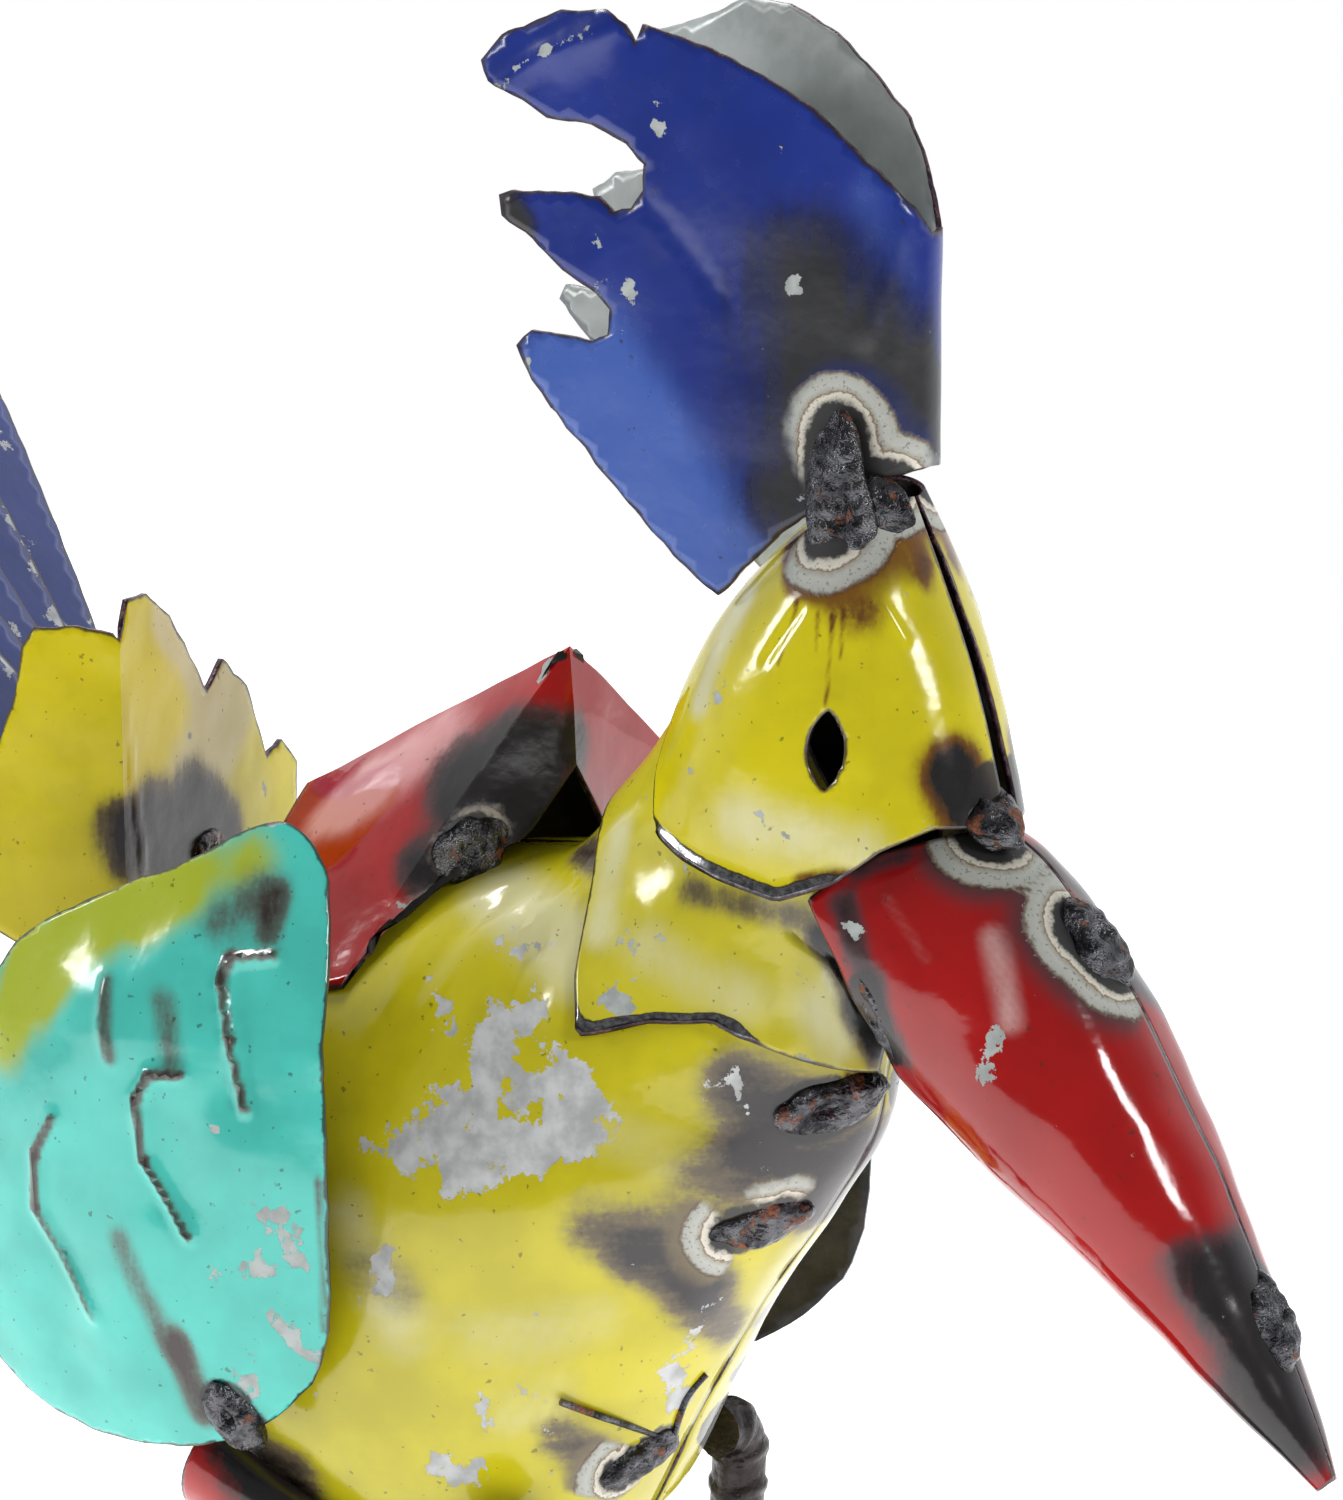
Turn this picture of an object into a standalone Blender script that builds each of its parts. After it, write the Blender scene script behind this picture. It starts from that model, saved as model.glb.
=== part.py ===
"""A roadrunner of folded, painted sheet steel, welded on two bent bars and a low plate.

Metres, +Z up. +X points along the beak, the bird's right side is at -Y, and the origin is
on the underside of the plate, below the middle of the trunk.
"""

from math import acos, atan2, cos, hypot, pi, radians, sin

import bpy
from mathutils import Vector
from mathutils.geometry import delaunay_2d_cdt
from mathutils.kdtree import KDTree

# Driving dimensions
SHEET = 0.0012              # thickness of every folded sheet
SEAM_GAP = 0.0003           # between edges that meet, and between pieces that rest on each other
LAP_GAP = 0.0006            # between a sheet and the curved sheet that it laps over
BAR_DIAMETER = 0.0127       # ribbed bar of the legs
TOE_DIAMETER = 0.0095       # round rod of the toes
TOE_LENGTH = 0.044          # from the heel to the end of a front toe
BACK_TOE_LENGTH = 0.030     # from the heel to the end of a back toe
BASE_LENGTH = 0.230         # low plate under both feet
BASE_WIDTH = 0.150
BASE_THICKNESS = 0.006
BASE_CORNER = 0.018
BASE_SHIFT = 0.015          # of the plate's middle ahead of the trunk's
BELLY_HEIGHT = 0.190        # lowest point of the trunk above the ground
FIGURE_HEIGHT = 0.330       # belly to the top of the crest
LEG_SPREAD = 0.047          # from the middle to the bar of each leg
TAIL_LENGTH = 0.189
FEATHER_WIDTH = 0.029
FEATHER_COUNT = 5

# The figure is drawn on a grid whose squares are a share of its height
BELLY_MARK = 1.90           # of the grid's rows, the one at the belly
CREST_MARK = 5.20           # the one at the top of the crest
U = FIGURE_HEIGHT / (CREST_MARK - BELLY_MARK)


def at(x, z):
    """Side-view place of a point drawn on the figure's grid."""
    return (x * U, BELLY_HEIGHT + (z - BELLY_MARK) * U)


YELLOW = (0.72, 0.62, 0.02)
BLUE = (0.02, 0.05, 0.32)
RED = (0.45, 0.01, 0.01)
TEAL = (0.05, 0.62, 0.55)
STEEL = (0.06, 0.05, 0.045)
BARE_ROUGHNESS = 0.6
SHARP_BEND = radians(35.0)  # a bend above this shows as an edge


def clear_scene():
    for old in list(bpy.data.objects):
        bpy.data.objects.remove(old, do_unlink=True)


def paint(name, colour, roughness=0.25, metallic=0.0):
    """Material of one piece: gloss paint, or steel where metallic is 1."""
    material = bpy.data.materials.new(name)
    material.use_nodes = True
    shader = material.node_tree.nodes["Principled BSDF"]
    shader.inputs["Base Color"].default_value = (*colour, 1.0)
    shader.inputs["Roughness"].default_value = roughness
    shader.inputs["Metallic"].default_value = metallic
    return material


def add_object(name, points, faces, colour, roughness=0.25, metallic=0.0):
    """A named object from points and outward faces."""
    mesh = bpy.data.meshes.new(name)
    mesh.from_pydata([tuple(p) for p in points], [], faces)
    mesh.materials.append(paint(name, colour, roughness, metallic))
    mesh.shade_smooth()
    mesh.set_sharp_from_angle(angle=SHARP_BEND)
    piece = bpy.data.objects.new(name, mesh)
    bpy.context.scene.collection.objects.link(piece)
    return piece


# Curves through drawn points

def share(k, count, low, high):
    """The k-th of a count of equal steps from low to high."""
    return low + (high - low) * k / count


def spline(values, t):
    """Smooth value at t, counted in steps along a list of numbers."""
    k = min(max(int(t), 0), len(values) - 2)
    f = t - k
    p1, p2 = values[k], values[k + 1]
    p0 = values[k - 1] if k > 0 else 2 * p1 - p2
    p3 = values[k + 2] if k + 2 < len(values) else 2 * p2 - p1
    return p1 + 0.5 * f * (p2 - p0 + f * (2 * p0 - 5 * p1 + 4 * p2 - p3 + f * (3 * (p1 - p2) + p3 - p0)))


def straight(points, x):
    """Value at x on straight lines between points (x, value)."""
    for (x0, v0), (x1, v1) in zip(points, points[1:]):
        if x <= x1:
            return v0 + (v1 - v0) * (x - x0) / (x1 - x0)
    return points[-1][1]


def smooth_ring(points, steps):
    """A smooth closed outline through points, with so many steps between two of them."""
    ring = points[-2:] + points + points[:2]
    return [tuple(spline([p[i] for p in ring], 2 + k / steps) for i in (0, 1))
            for k in range(len(points) * steps)]


# Forms folded round a back line and meeting along a front line

class FoldedForm:
    """A drop-shaped form: sections run from a sharp or blunt front line to a round back line.

    A station is the front point, the back point, the half width and the front's bluntness, from
    1 for a sharp edge to 0.5 for a round one. t counts stations. c runs across the sheet: -1 is
    the front line on the right side, 0 the back line and +1 the front line on the left side.
    """

    back_power = 0.5

    def __init__(self, stations):
        self.front_x, self.front_z = zip(*[at(*s[0]) for s in stations])
        self.back_x, self.back_z = zip(*[at(*s[1]) for s in stations])
        self.width = [s[2] * U for s in stations]
        self.blunt = [s[3] for s in stations]
        self.last = len(stations) - 1

    def point(self, t, c):
        a = 0.5 * (1.0 + cos(pi * c))
        p, q = spline(self.blunt, t), self.back_power
        top = (p / (p + q)) ** p * (q / (p + q)) ** q
        y = spline(self.width, t) * a ** q * (1.0 - a) ** p / top
        x = spline(self.front_x, t) * (1.0 - a) + spline(self.back_x, t) * a
        z = spline(self.front_z, t) * (1.0 - a) + spline(self.back_z, t) * a
        return Vector((x, y if c > 0 else -y, z))

    def normal(self, t, c):
        """Outward normal, read a little way in from the front line, where it is steady."""
        c = min(max(c, -0.97), 0.97)
        along = self.point(min(t + 0.02, self.last), c) - self.point(max(t - 0.02, 0), c)
        across = self.point(t, c + 0.01) - self.point(t, c - 0.01)
        return along.cross(across).normalized()


def closed_sheet(name, outer, faces, colour, sides=None, limits=None):
    """Gives an open surface its thickness, inward, and closes it with a rim.

    sides holds -1 or +1 for a point that has to stay on its own side of the middle, else 0.
    limits holds a lower thickness for points where the form is narrow.
    """
    normals = [Vector() for _ in outer]
    for face in faces:
        corners = [outer[i] for i in face]
        area = (corners[1] - corners[0]).cross(corners[2] - corners[0])
        if len(corners) == 4:
            area += (corners[2] - corners[0]).cross(corners[3] - corners[0])
        for i in face:
            normals[i] += area
    inner = []
    for i, p in enumerate(outer):
        depth = min(SHEET, limits[i]) if limits else SHEET
        inner.append(p - normals[i].normalized() * depth)
    points = [p.copy() for p in outer] + inner
    if sides:
        for i, p in enumerate(points):
            side = sides[i % len(outer)]
            if side:
                p.y = side * max(side * p.y, 0.5 * SEAM_GAP)
    count = len(outer)
    shell = list(faces) + [tuple(i + count for i in reversed(face)) for face in faces]
    edges = {}
    for face in faces:
        for i, j in zip(face, face[1:] + face[:1]):
            edges[(i, j)] = True
    for i, j in edges:
        if (j, i) not in edges:
            shell.append((j, i, i + count, j + count))
    return add_object(name, points, shell, colour)


def folded_sheet(name, form, colour, low, high, rows, columns, c_range=(-1.0, 1.0), lift=0.0,
                 sided=True):
    """A sheet bent over a form, between two edges given as functions of c."""
    outer, faces, sides, limits = [], [], [], []
    for i in range(rows + 1):
        for j in range(columns + 1):
            c = share(j, columns, *c_range)
            t = share(i, rows, low(c), high(c))
            outer.append(form.point(t, c) + form.normal(t, c) * lift)
            limits.append(0.4 * spline(form.width, t))
            half = c_range[0] * c_range[1] == 0.0
            on_front = abs(c) > 0.55
            sides.append((1 if sum(c_range) > 0 else -1) if half else (1 if c > 0 else -1) * on_front)
    for i in range(rows):
        for j in range(columns):
            k = i * (columns + 1) + j
            faces.append((k, k + columns + 1, k + columns + 2, k + 1))
    return closed_sheet(name, outer, faces, colour, sides if sided else None, limits)


def is_inside(outline, x, y):
    inside = False
    for (x0, y0), (x1, y1) in zip(outline, outline[1:] + outline[:1]):
        if (y0 > y) != (y1 > y) and x < (x1 - x0) * (y - y0) / (y1 - y0) + x0:
            inside = not inside
    return inside


def edge_distance(outline, x, y):
    nearest = 1e9
    for (x0, y0), (x1, y1) in zip(outline, outline[1:] + outline[:1]):
        run, rise = x1 - x0, y1 - y0
        f = min(max(((x - x0) * run + (y - y0) * rise) / (run * run + rise * rise), 0.0), 1.0)
        nearest = min(nearest, hypot(x - x0 - f * run, y - y0 - f * rise))
    return nearest


def flat_pattern(outline, spacing, extra=()):
    """Triangles that fill an outline, with a grid of points inside it that lets it bend."""
    xs, ys = [p[0] for p in outline], [p[1] for p in outline]
    columns = int((max(xs) - min(xs)) / spacing) + 2
    rows = int((max(ys) - min(ys)) / spacing) + 2
    grid = [(min(xs) + i * spacing, min(ys) + (j + 0.5 * (i % 2)) * spacing)
            for i in range(columns) for j in range(rows)]
    grid = [p for p in grid if all(hypot(p[0] - q[0], p[1] - q[1]) > 0.6 * spacing for q in extra)]
    inside = [p for p in list(extra) + grid
              if is_inside(outline, *p) and edge_distance(outline, *p) > 0.25 * spacing]
    count = len(outline)
    border = [(i, (i + 1) % count) for i in range(count)]
    found = delaunay_2d_cdt([Vector(p) for p in outline + inside], border, [], 0, 1e-7, False)
    flat = [tuple(p) for p in found[0]]
    triangles = []
    for face in found[2]:
        x, y = (sum(flat[i][k] for i in face) / 3 for k in (0, 1))
        if is_inside(outline, x, y):
            triangles.append(tuple(face))
    return flat, triangles


def bent_sheet(name, outline, spacing, bend, colour, extra=(), facing=(0, -1, 0)):
    """A sheet cut to a flat outline and bent: bend takes a flat point to its place."""
    flat, triangles = flat_pattern(outline, spacing, extra)
    outer = [Vector(bend(*p)) for p in flat]
    first = triangles[0]
    area = (outer[first[1]] - outer[first[0]]).cross(outer[first[2]] - outer[first[0]])
    if area.dot(Vector(facing)) < 0:
        triangles = [tuple(reversed(f)) for f in triangles]
    return closed_sheet(name, outer, triangles, colour)


def bar(name, path, diameter, sides):
    """A round bar of bare steel swept along a path of points."""
    frames = []
    for k, p in enumerate(path):
        before, after = path[max(k - 1, 0)], path[min(k + 1, len(path) - 1)]
        frames.append((p, (after - before).normalized()))
    across = Vector((0, 0, 1))
    points, faces = [], []
    for p, along in frames:
        across = (across - along * across.dot(along)).normalized()
        up = along.cross(across)
        for k in range(sides):
            turn = 2 * pi * k / sides
            points.append(p + (across * cos(turn) + up * sin(turn)) * diameter / 2)
    for i in range(len(path) - 1):
        for k in range(sides):
            a, b = i * sides + k, i * sides + (k + 1) % sides
            faces.append((a, b, b + sides, a + sides))
    faces.append(tuple(reversed(range(sides))))
    faces.append(tuple(range((len(path) - 1) * sides, len(path) * sides)))
    return add_object(name, points, faces, STEEL, BARE_ROUGHNESS, 1.0)


# Trunk and neck: front line up the keel, back line over the rump to the nape

TRUNK = FoldedForm([
    ((-0.94, 2.86), (-0.99, 3.01), 0.06, 0.60),
    ((-0.70, 2.48), (-0.70, 3.21), 0.30, 0.60),
    ((-0.45, 2.17), (-0.42, 3.36), 0.47, 0.58),
    ((-0.15, 1.95), (-0.14, 3.46), 0.54, 0.55),
    ((0.14, 1.91), (0.08, 3.50), 0.55, 0.52),
    ((0.38, 2.01), (0.24, 3.53), 0.53, 0.50),
    ((0.545, 2.18), (0.34, 3.54), 0.495, 0.50),
    ((0.665, 2.41), (0.405, 3.55), 0.445, 0.51),
    ((0.80, 2.645), (0.445, 3.58), 0.385, 0.56),
    ((0.95, 2.86), (0.495, 3.645), 0.315, 0.64),
    ((1.06, 3.04), (0.575, 3.735), 0.255, 0.66),
    ((1.10, 3.22), (0.680, 3.880), 0.215, 0.60),
    ((1.15, 3.40), (0.790, 3.995), 0.195, 0.58),
    ((1.15, 3.60), (0.890, 4.080), 0.165, 0.58),
])
TRUNK_TOP = 11.3
NECK_TOP = 12.9

# Lower edge of the neck sheet from the throat to the nape: a share of the way back, and a station
NECK_HEM = [
    (0.0, 10.8), (0.17, 10.4), (0.40, 9.87), (0.51, 9.2), (0.61, 8.3), (0.71, 8.4), (0.85, 8.85),
    (1.0, 9.05),
]


def hem(points, c):
    return straight(points, 0.5 * (1.0 + cos(pi * c)))


def make_trunk():
    for name, c_range in (("body_right", (-1.0, 0.0)), ("body_left", (0.0, 1.0))):
        folded_sheet(name, TRUNK, YELLOW, lambda c: 0.0, lambda c: TRUNK_TOP, 23, 9, c_range)


def make_neck():
    folded_sheet("neck", TRUNK, YELLOW, lambda c: hem(NECK_HEM, c), lambda c: NECK_TOP, 8, 24,
                 (-0.93, 0.93), SHEET + LAP_GAP, sided=False)


# Head: one sheet folded round the nape, with its seam down the forehead

HEAD = FoldedForm([
    ((1.400, 3.430), (0.548, 3.655), 0.275, 0.45),
    ((1.355, 3.680), (0.652, 3.875), 0.270, 0.45),
    ((1.310, 3.870), (0.757, 4.055), 0.245, 0.47),
    ((1.245, 4.060), (0.905, 4.215), 0.190, 0.50),
    ((1.140, 4.290), (1.060, 4.325), 0.075, 0.55),
])

# Lower edge of the cheeks from the forehead to the nape
HEAD_HEM = [
    (0.0, 1.05), (0.11, 0.98), (0.23, 0.70), (0.33, 0.37), (0.47, 0.06), (0.61, 0.03), (0.72, 0.03),
    (0.80, 0.08), (0.85, 0.17), (0.90, 0.45), (0.95, 1.10), (1.0, 1.40),
]
EYE_PLACE = at(1.092, 3.840)
EYE_LENGTH = 0.0150
EYE_WIDTH = 0.0070


def almond_cutter():
    """A pointed oval prism that cuts the eye through both cheeks."""
    steps = 8
    half, side = EYE_LENGTH / 2, EYE_WIDTH / 2
    radius = (half * half + side * side) / (2 * side)
    reach = atan2(half, radius - side)
    ring = []
    for sign in (1, -1):
        for k in range(steps):
            turn = sign * share(k, steps, -reach, reach)
            ring.append((sign * (radius * cos(turn) - radius + side), radius * sin(turn)))
    depth = 0.05
    points, count = [], len(ring)
    for y in (-depth, depth):
        points += [Vector((EYE_PLACE[0] + x, y, EYE_PLACE[1] + z)) for x, z in ring]
    faces = [(k, k + count, (k + 1) % count + count, (k + 1) % count) for k in range(count)]
    faces += [tuple(range(count)), tuple(reversed(range(count, 2 * count)))]
    cutter = add_object("eye_cutter", points, faces, STEEL)
    cutter.hide_render = True
    cutter.display_type = "WIRE"
    return cutter


def make_head():
    head = folded_sheet("head", HEAD, YELLOW, lambda c: hem(HEAD_HEM, c), lambda c: HEAD.last, 9, 30,
                        (-0.97, 0.97))
    cut = head.modifiers.new("eyes", "BOOLEAN")
    cut.operation = "DIFFERENCE"
    cut.solver = "EXACT"
    cut.object = almond_cutter()


# Beak: a rolled cone, its seam along the top

BEAK = FoldedForm([
    ((1.150, 3.730), (1.150, 3.225), 0.215, 0.38),
    ((1.395, 3.630), (1.265, 3.125), 0.225, 0.40),
    ((1.610, 3.375), (1.430, 2.995), 0.215, 0.42),
    ((1.765, 3.105), (1.645, 2.825), 0.165, 0.45),
    ((1.890, 2.845), (1.825, 2.675), 0.105, 0.46),
    ((1.980, 2.650), (1.950, 2.575), 0.055, 0.48),
    ((2.030, 2.525), (2.018, 2.510), 0.015, 0.50),
])

# Open end of the beak from the seam to the underside: a corner reaches back below each cheek
BEAK_HEM = [
    (0.0, 0.7), (0.18, 0.05), (0.33, -0.27), (0.54, -0.62), (0.65, -0.28), (0.74, -0.1), (0.82, 0.3),
    (1.0, 0.6),
]


def make_beak():
    folded_sheet("beak", BEAK, RED, lambda c: hem(BEAK_HEM, c), lambda c: BEAK.last, 11, 18)


# Crest: one sheet folded at the front, its two leaves cut into fingers

CREST_FOLD = 1.180          # front of the fold on the grid
CREST_RADIUS = 0.0085
CREST_FLARE = radians(5.0)
CREST_RIGHT = [
    (1.178, 4.785), (1.162, 4.835), (1.125, 4.875), (1.075, 4.915), (0.984, 4.998), (0.862, 5.068),
    (0.738, 5.120), (0.613, 5.155), (0.598, 5.120), (0.581, 5.155), (0.539, 5.181),
    (0.444, 5.179), (0.315, 5.130),
    (0.271, 5.082), (0.286, 5.044), (0.357, 5.008), (0.411, 4.976), (0.507, 4.965), (0.581, 4.930),
    (0.617, 4.894), (0.617, 4.847), (0.591, 4.812), (0.553, 4.803), (0.521, 4.831), (0.442, 4.837),
    (0.335, 4.837), (0.306, 4.827), (0.312, 4.789), (0.377, 4.744), (0.442, 4.689), (0.516, 4.645),
    (0.544, 4.618), (0.538, 4.570), (0.505, 4.555), (0.441, 4.565), (0.376, 4.571), (0.343, 4.541),
    (0.376, 4.475), (0.440, 4.402), (0.526, 4.311), (0.633, 4.202), (0.718, 4.121), (0.775, 4.085),
]
CREST_LEFT = [
    (1.160, 4.788), (1.125, 4.880), (1.075, 4.985), (1.000, 5.062), (0.905, 5.140), (0.800, 5.190),
    (0.700, 5.200), (0.600, 5.160), (0.480, 5.130), (0.380, 5.090), (0.400, 5.030), (0.480, 4.990),
    (0.560, 4.950), (0.560, 4.880), (0.480, 4.865), (0.386, 4.854), (0.329, 4.816), (0.350, 4.760),
    (0.420, 4.690), (0.400, 4.640), (0.331, 4.620), (0.262, 4.630), (0.245, 4.600), (0.285, 4.560),
    (0.360, 4.480), (0.440, 4.402), (0.540, 4.311), (0.640, 4.210), (0.718, 4.121), (0.775, 4.085),
]
CREST_HEEL = [
    (0.815, 4.125), (0.905, 4.212), (0.985, 4.270), (1.075, 4.320), (1.125, 4.335), (1.162, 4.345),
]
CREST_FOOT_CORNER = 4.352
CREST_MESH = 0.016


def make_crest():
    """Cut flat, with the fold as its middle line, and bent round the fold."""
    arc = CREST_RADIUS * (pi / 2 - CREST_FLARE)
    centre = CREST_FOLD * U - CREST_RADIUS
    tangent_x = centre + CREST_RADIUS * sin(CREST_FLARE)
    tangent_y = CREST_RADIUS * cos(CREST_FLARE)

    def unrolled(x, z, side):
        along, height = at(x, z)
        if along > tangent_x:
            return (side * CREST_RADIUS * acos((along - centre) / CREST_RADIUS), height)
        return (side * (arc + (tangent_x - along) / cos(CREST_FLARE)), height)

    def bend(p, height):
        side, run = (1 if p > 0 else -1), abs(p)
        if run < arc:
            turn = run / CREST_RADIUS
            return (centre + CREST_RADIUS * cos(turn), side * CREST_RADIUS * sin(turn), height)
        past = run - arc
        return (tangent_x - past * cos(CREST_FLARE), side * (tangent_y + past * sin(CREST_FLARE)), height)

    right = [unrolled(x, z, -1) for x, z in CREST_RIGHT + CREST_HEEL]
    left = [unrolled(x, z, 1) for x, z in CREST_LEFT + CREST_HEEL]
    foot, top = at(0, CREST_FOOT_CORNER)[1], right[0][1]
    outline = right + [(0.0, foot)] + left[::-1]
    fold = [(share(k, 6, -arc, arc), share(j, 4, foot, top)) for k in range(7) for j in range(1, 4)]
    bent_sheet("crest", outline, CREST_MESH, bend, BLUE, fold, facing=(0.7, -0.7, 0))


# Hood: a folded roof over the back, closed in front by two facets that meet like a bow

HOOD_APEX = (0.365, 0.00, 3.936)
HOOD_BOW = (0.380, 0.00, 3.697)
HOOD_RIDGE_END = (-0.280, 0.00, 3.590)
HOOD_WING_CORNER = (0.340, 0.50, 3.570)
HOOD_BACK_CORNER = (-0.300, 0.36, 3.480)
HOOD_FEET = {-1: (0.070, -0.38), 1: (0.300, 0.42)}
HOOD_BACK_FEET = {-1: (-0.330, -0.38), 1: (-0.330, 0.42)}
HOOD_SAG = (0.0, 0.055, 0.045, 0.015, 0.0)    # of the right facet's lower edge, from the bow outward


def trunk_plan(c_range, rows=160, columns=60):
    """The trunk's back or belly seen in plan, as a tree of points with their heights."""
    spots = [TRUNK.point(share(i, rows, 0.2, 8.0), share(j, columns, *c_range))
             for i in range(rows + 1) for j in range(columns + 1)]
    tree = KDTree(len(spots))
    for k, spot in enumerate(spots):
        tree.insert((spot.x, spot.y, 0.0), k)
    tree.balance()
    return tree, [spot.z for spot in spots]


def above_trunk(spot, plan, clearance):
    """Lowest height at which a point clears the trunk's back."""
    tree, heights = plan
    near = tree.find_n((spot.x, abs(spot.y), 0.0), 3)
    return max(heights[k] for _, k, _ in near) + clearance


def fused(patches):
    """One surface from patches that share edges: equal points become one."""
    points, index, faces = [], {}, []
    for patch in patches:
        for i in range(len(patch) - 1):
            for j in range(len(patch[0]) - 1):
                face = []
                for p in (patch[i][j], patch[i + 1][j], patch[i + 1][j + 1], patch[i][j + 1]):
                    key = tuple(round(v, 6) for v in p)
                    if key not in index:
                        index[key] = len(points)
                        points.append(p)
                    if index[key] not in face:
                        face.append(index[key])
                if len(face) > 2:
                    faces.append(tuple(face))
    return points, faces


def make_hood():
    def place(spot):
        x, z = at(spot[0], spot[2])
        return Vector((x, spot[1] * U, z))

    clearance = SHEET + 2 * LAP_GAP
    plan = trunk_plan((0.0, 0.62))

    def lowered(x, y):
        spot = Vector((x * U, y * U, 0.0))
        spot.z = above_trunk(spot, plan, clearance)
        return spot

    apex, bow, end = place(HOOD_APEX), place(HOOD_BOW), place(HOOD_RIDGE_END)
    swell = 0.05 * U

    def path(points, steps):
        run = []
        for p, q in zip(points, points[1:]):
            run += [p.lerp(q, k / steps) for k in range(steps)]
        return run + [points[-1]]

    patches = []
    for side in (-1, 1):
        foot, back = lowered(*HOOD_FEET[side]), lowered(*HOOD_BACK_FEET[side])
        if side < 0:
            front_path, back_path = path([apex, foot], 6), path([end, back], 6)
        else:
            front_path = path([apex, place(HOOD_WING_CORNER), foot], 3)
            back_path = path([end, place(HOOD_BACK_CORNER), back], 3)
        roof, facet = [], []
        for i, (p, q) in enumerate(zip(front_path, back_path)):
            row = [p.lerp(q, k / 6) for k in range(7)]
            for k, spot in enumerate(row):
                spot.z += swell * sin(pi * i / 6) * (0.4 + 0.6 * sin(pi * k / 6))
                spot.z = max(spot.z, above_trunk(spot, plan, clearance))
            keel = apex.lerp(bow, i / 6)
            front = [keel.lerp(row[0], k / 4) for k in range(5)]
            for k, sag in enumerate(HOOD_SAG if side < 0 else ()):
                front[k].z -= sag * U * (i / 6) ** 2
            for spot in front:
                spot.z = max(spot.z, above_trunk(spot, plan, clearance))
            facet.append(front)
            roof.append(row)
        for patch in (facet, roof):
            patches.append(patch if side < 0 else [row[::-1] for row in patch])
    outer, faces = fused(patches)
    closed_sheet("hood", outer, faces, RED)


# Wings: dished shells, the right one close to the trunk, the left one standing out

WING_OUTLINE = [
    (0.040, 3.640), (0.150, 3.560), (0.195, 3.400), (0.220, 3.150), (0.225, 2.850), (0.180, 2.590),
    (0.010, 2.430), (-0.240, 2.365), (-0.500, 2.410), (-0.700, 2.570), (-0.810, 2.800),
    (-0.780, 3.000), (-0.640, 3.100), (-0.560, 3.260), (-0.480, 3.380), (-0.300, 3.480),
    (-0.120, 3.560),
]
WING_MESH = 0.13            # of the flat pattern's points, on the grid
WING_RIM = 0.575            # from the middle to the rim of the right wing
WING_DISH = 0.160
WING_MIDDLE = (-0.290, 3.000)
WING_REACH = (0.660, 0.760)
LEFT_WING_HINGE = (-0.800, 0.450)
LEFT_WING_OPEN = radians(33.0)
LEFT_WING_SHIFT = (0.431, -0.170)


def wing_depth(x, z):
    """How far the dish stands out of its rim, on the grid."""
    across = (x - WING_MIDDLE[0]) / WING_REACH[0]
    up = (z - WING_MIDDLE[1]) / WING_REACH[1]
    return WING_DISH * max(0.0, 1.0 - (across * across + up * up) ** 1.2) - 0.10 * max(0.0, up - 0.3)


def make_wings():
    outline = smooth_ring(WING_OUTLINE, 3)

    def right(x, z):
        spot = at(x, z)
        return (spot[0], -(WING_RIM + wing_depth(x, z)) * U, spot[1])

    def left(x, z):
        out = wing_depth(x, z)
        along = x - LEFT_WING_HINGE[0]
        turn_x = LEFT_WING_HINGE[0] + along * cos(LEFT_WING_OPEN) - out * sin(LEFT_WING_OPEN)
        turn_y = LEFT_WING_HINGE[1] + along * sin(LEFT_WING_OPEN) + out * cos(LEFT_WING_OPEN)
        spot = at(turn_x + LEFT_WING_SHIFT[0], z + LEFT_WING_SHIFT[1])
        return (spot[0], turn_y * U, spot[1])

    bent_sheet("wing_right", outline, WING_MESH, right, TEAL, facing=(0, -1, 0))
    bent_sheet("wing_left", outline, WING_MESH, left, TEAL, facing=(0, 1, 0))


# Rump fan: a scalloped sheet across the rump, creased near its right side and swept back there

FAN_CREASE = (-0.520, -0.300)
FAN_ACROSS = radians(13.0)  # how far the part across the rump leans back towards the left
FAN_BACK = radians(76.0)    # how far the right part is swept back
FAN_RIGHT = [
    (0.02, 3.920), (0.10, 3.930), (0.19, 3.925), (0.22, 3.885), (0.225, 3.840), (0.245, 3.760),
    (0.275, 3.684), (0.36, 3.670), (0.42, 3.580), (0.42, 3.440), (0.36, 3.330), (0.26, 3.270),
    (0.12, 3.200),
]
FAN_LEFT = [
    (0.04, 3.985), (0.13, 3.985), (0.24, 3.920), (0.42, 3.735), (0.50, 3.790), (0.62, 3.710),
    (0.72, 3.540), (0.80, 3.560), (0.88, 3.500), (0.86, 3.300), (0.78, 3.200), (0.66, 3.160),
    (0.55, 3.125), (0.46, 3.210), (0.37, 3.270), (0.28, 3.292), (0.20, 3.280), (0.12, 3.237),
    (0.06, 3.195),
]
FAN_CREASE_ENDS = (3.130, 3.910)
FAN_MESH = 0.15


def make_fan():
    def bend(across, z):
        if across > 0:
            x = FAN_CREASE[0] - across * sin(FAN_ACROSS)
            y = FAN_CREASE[1] + across * cos(FAN_ACROSS)
        else:
            x = FAN_CREASE[0] + across * sin(FAN_BACK)
            y = FAN_CREASE[1] + across * cos(FAN_BACK)
        spot = at(x, z)
        return (spot[0], y * U, spot[1])

    foot, top = FAN_CREASE_ENDS
    outline = [(0.0, top)] + [(-a, z) for a, z in FAN_RIGHT] + [(0.0, foot)] + FAN_LEFT[::-1]
    crease = [(0.0, share(k, 5, foot, top)) for k in range(1, 5)]
    bent_sheet("rump_fan", outline, FAN_MESH, bend, YELLOW, crease, facing=(1, 0, 0))


# Tail: long blue feathers, spread in their plane and stacked at their roots

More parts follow.
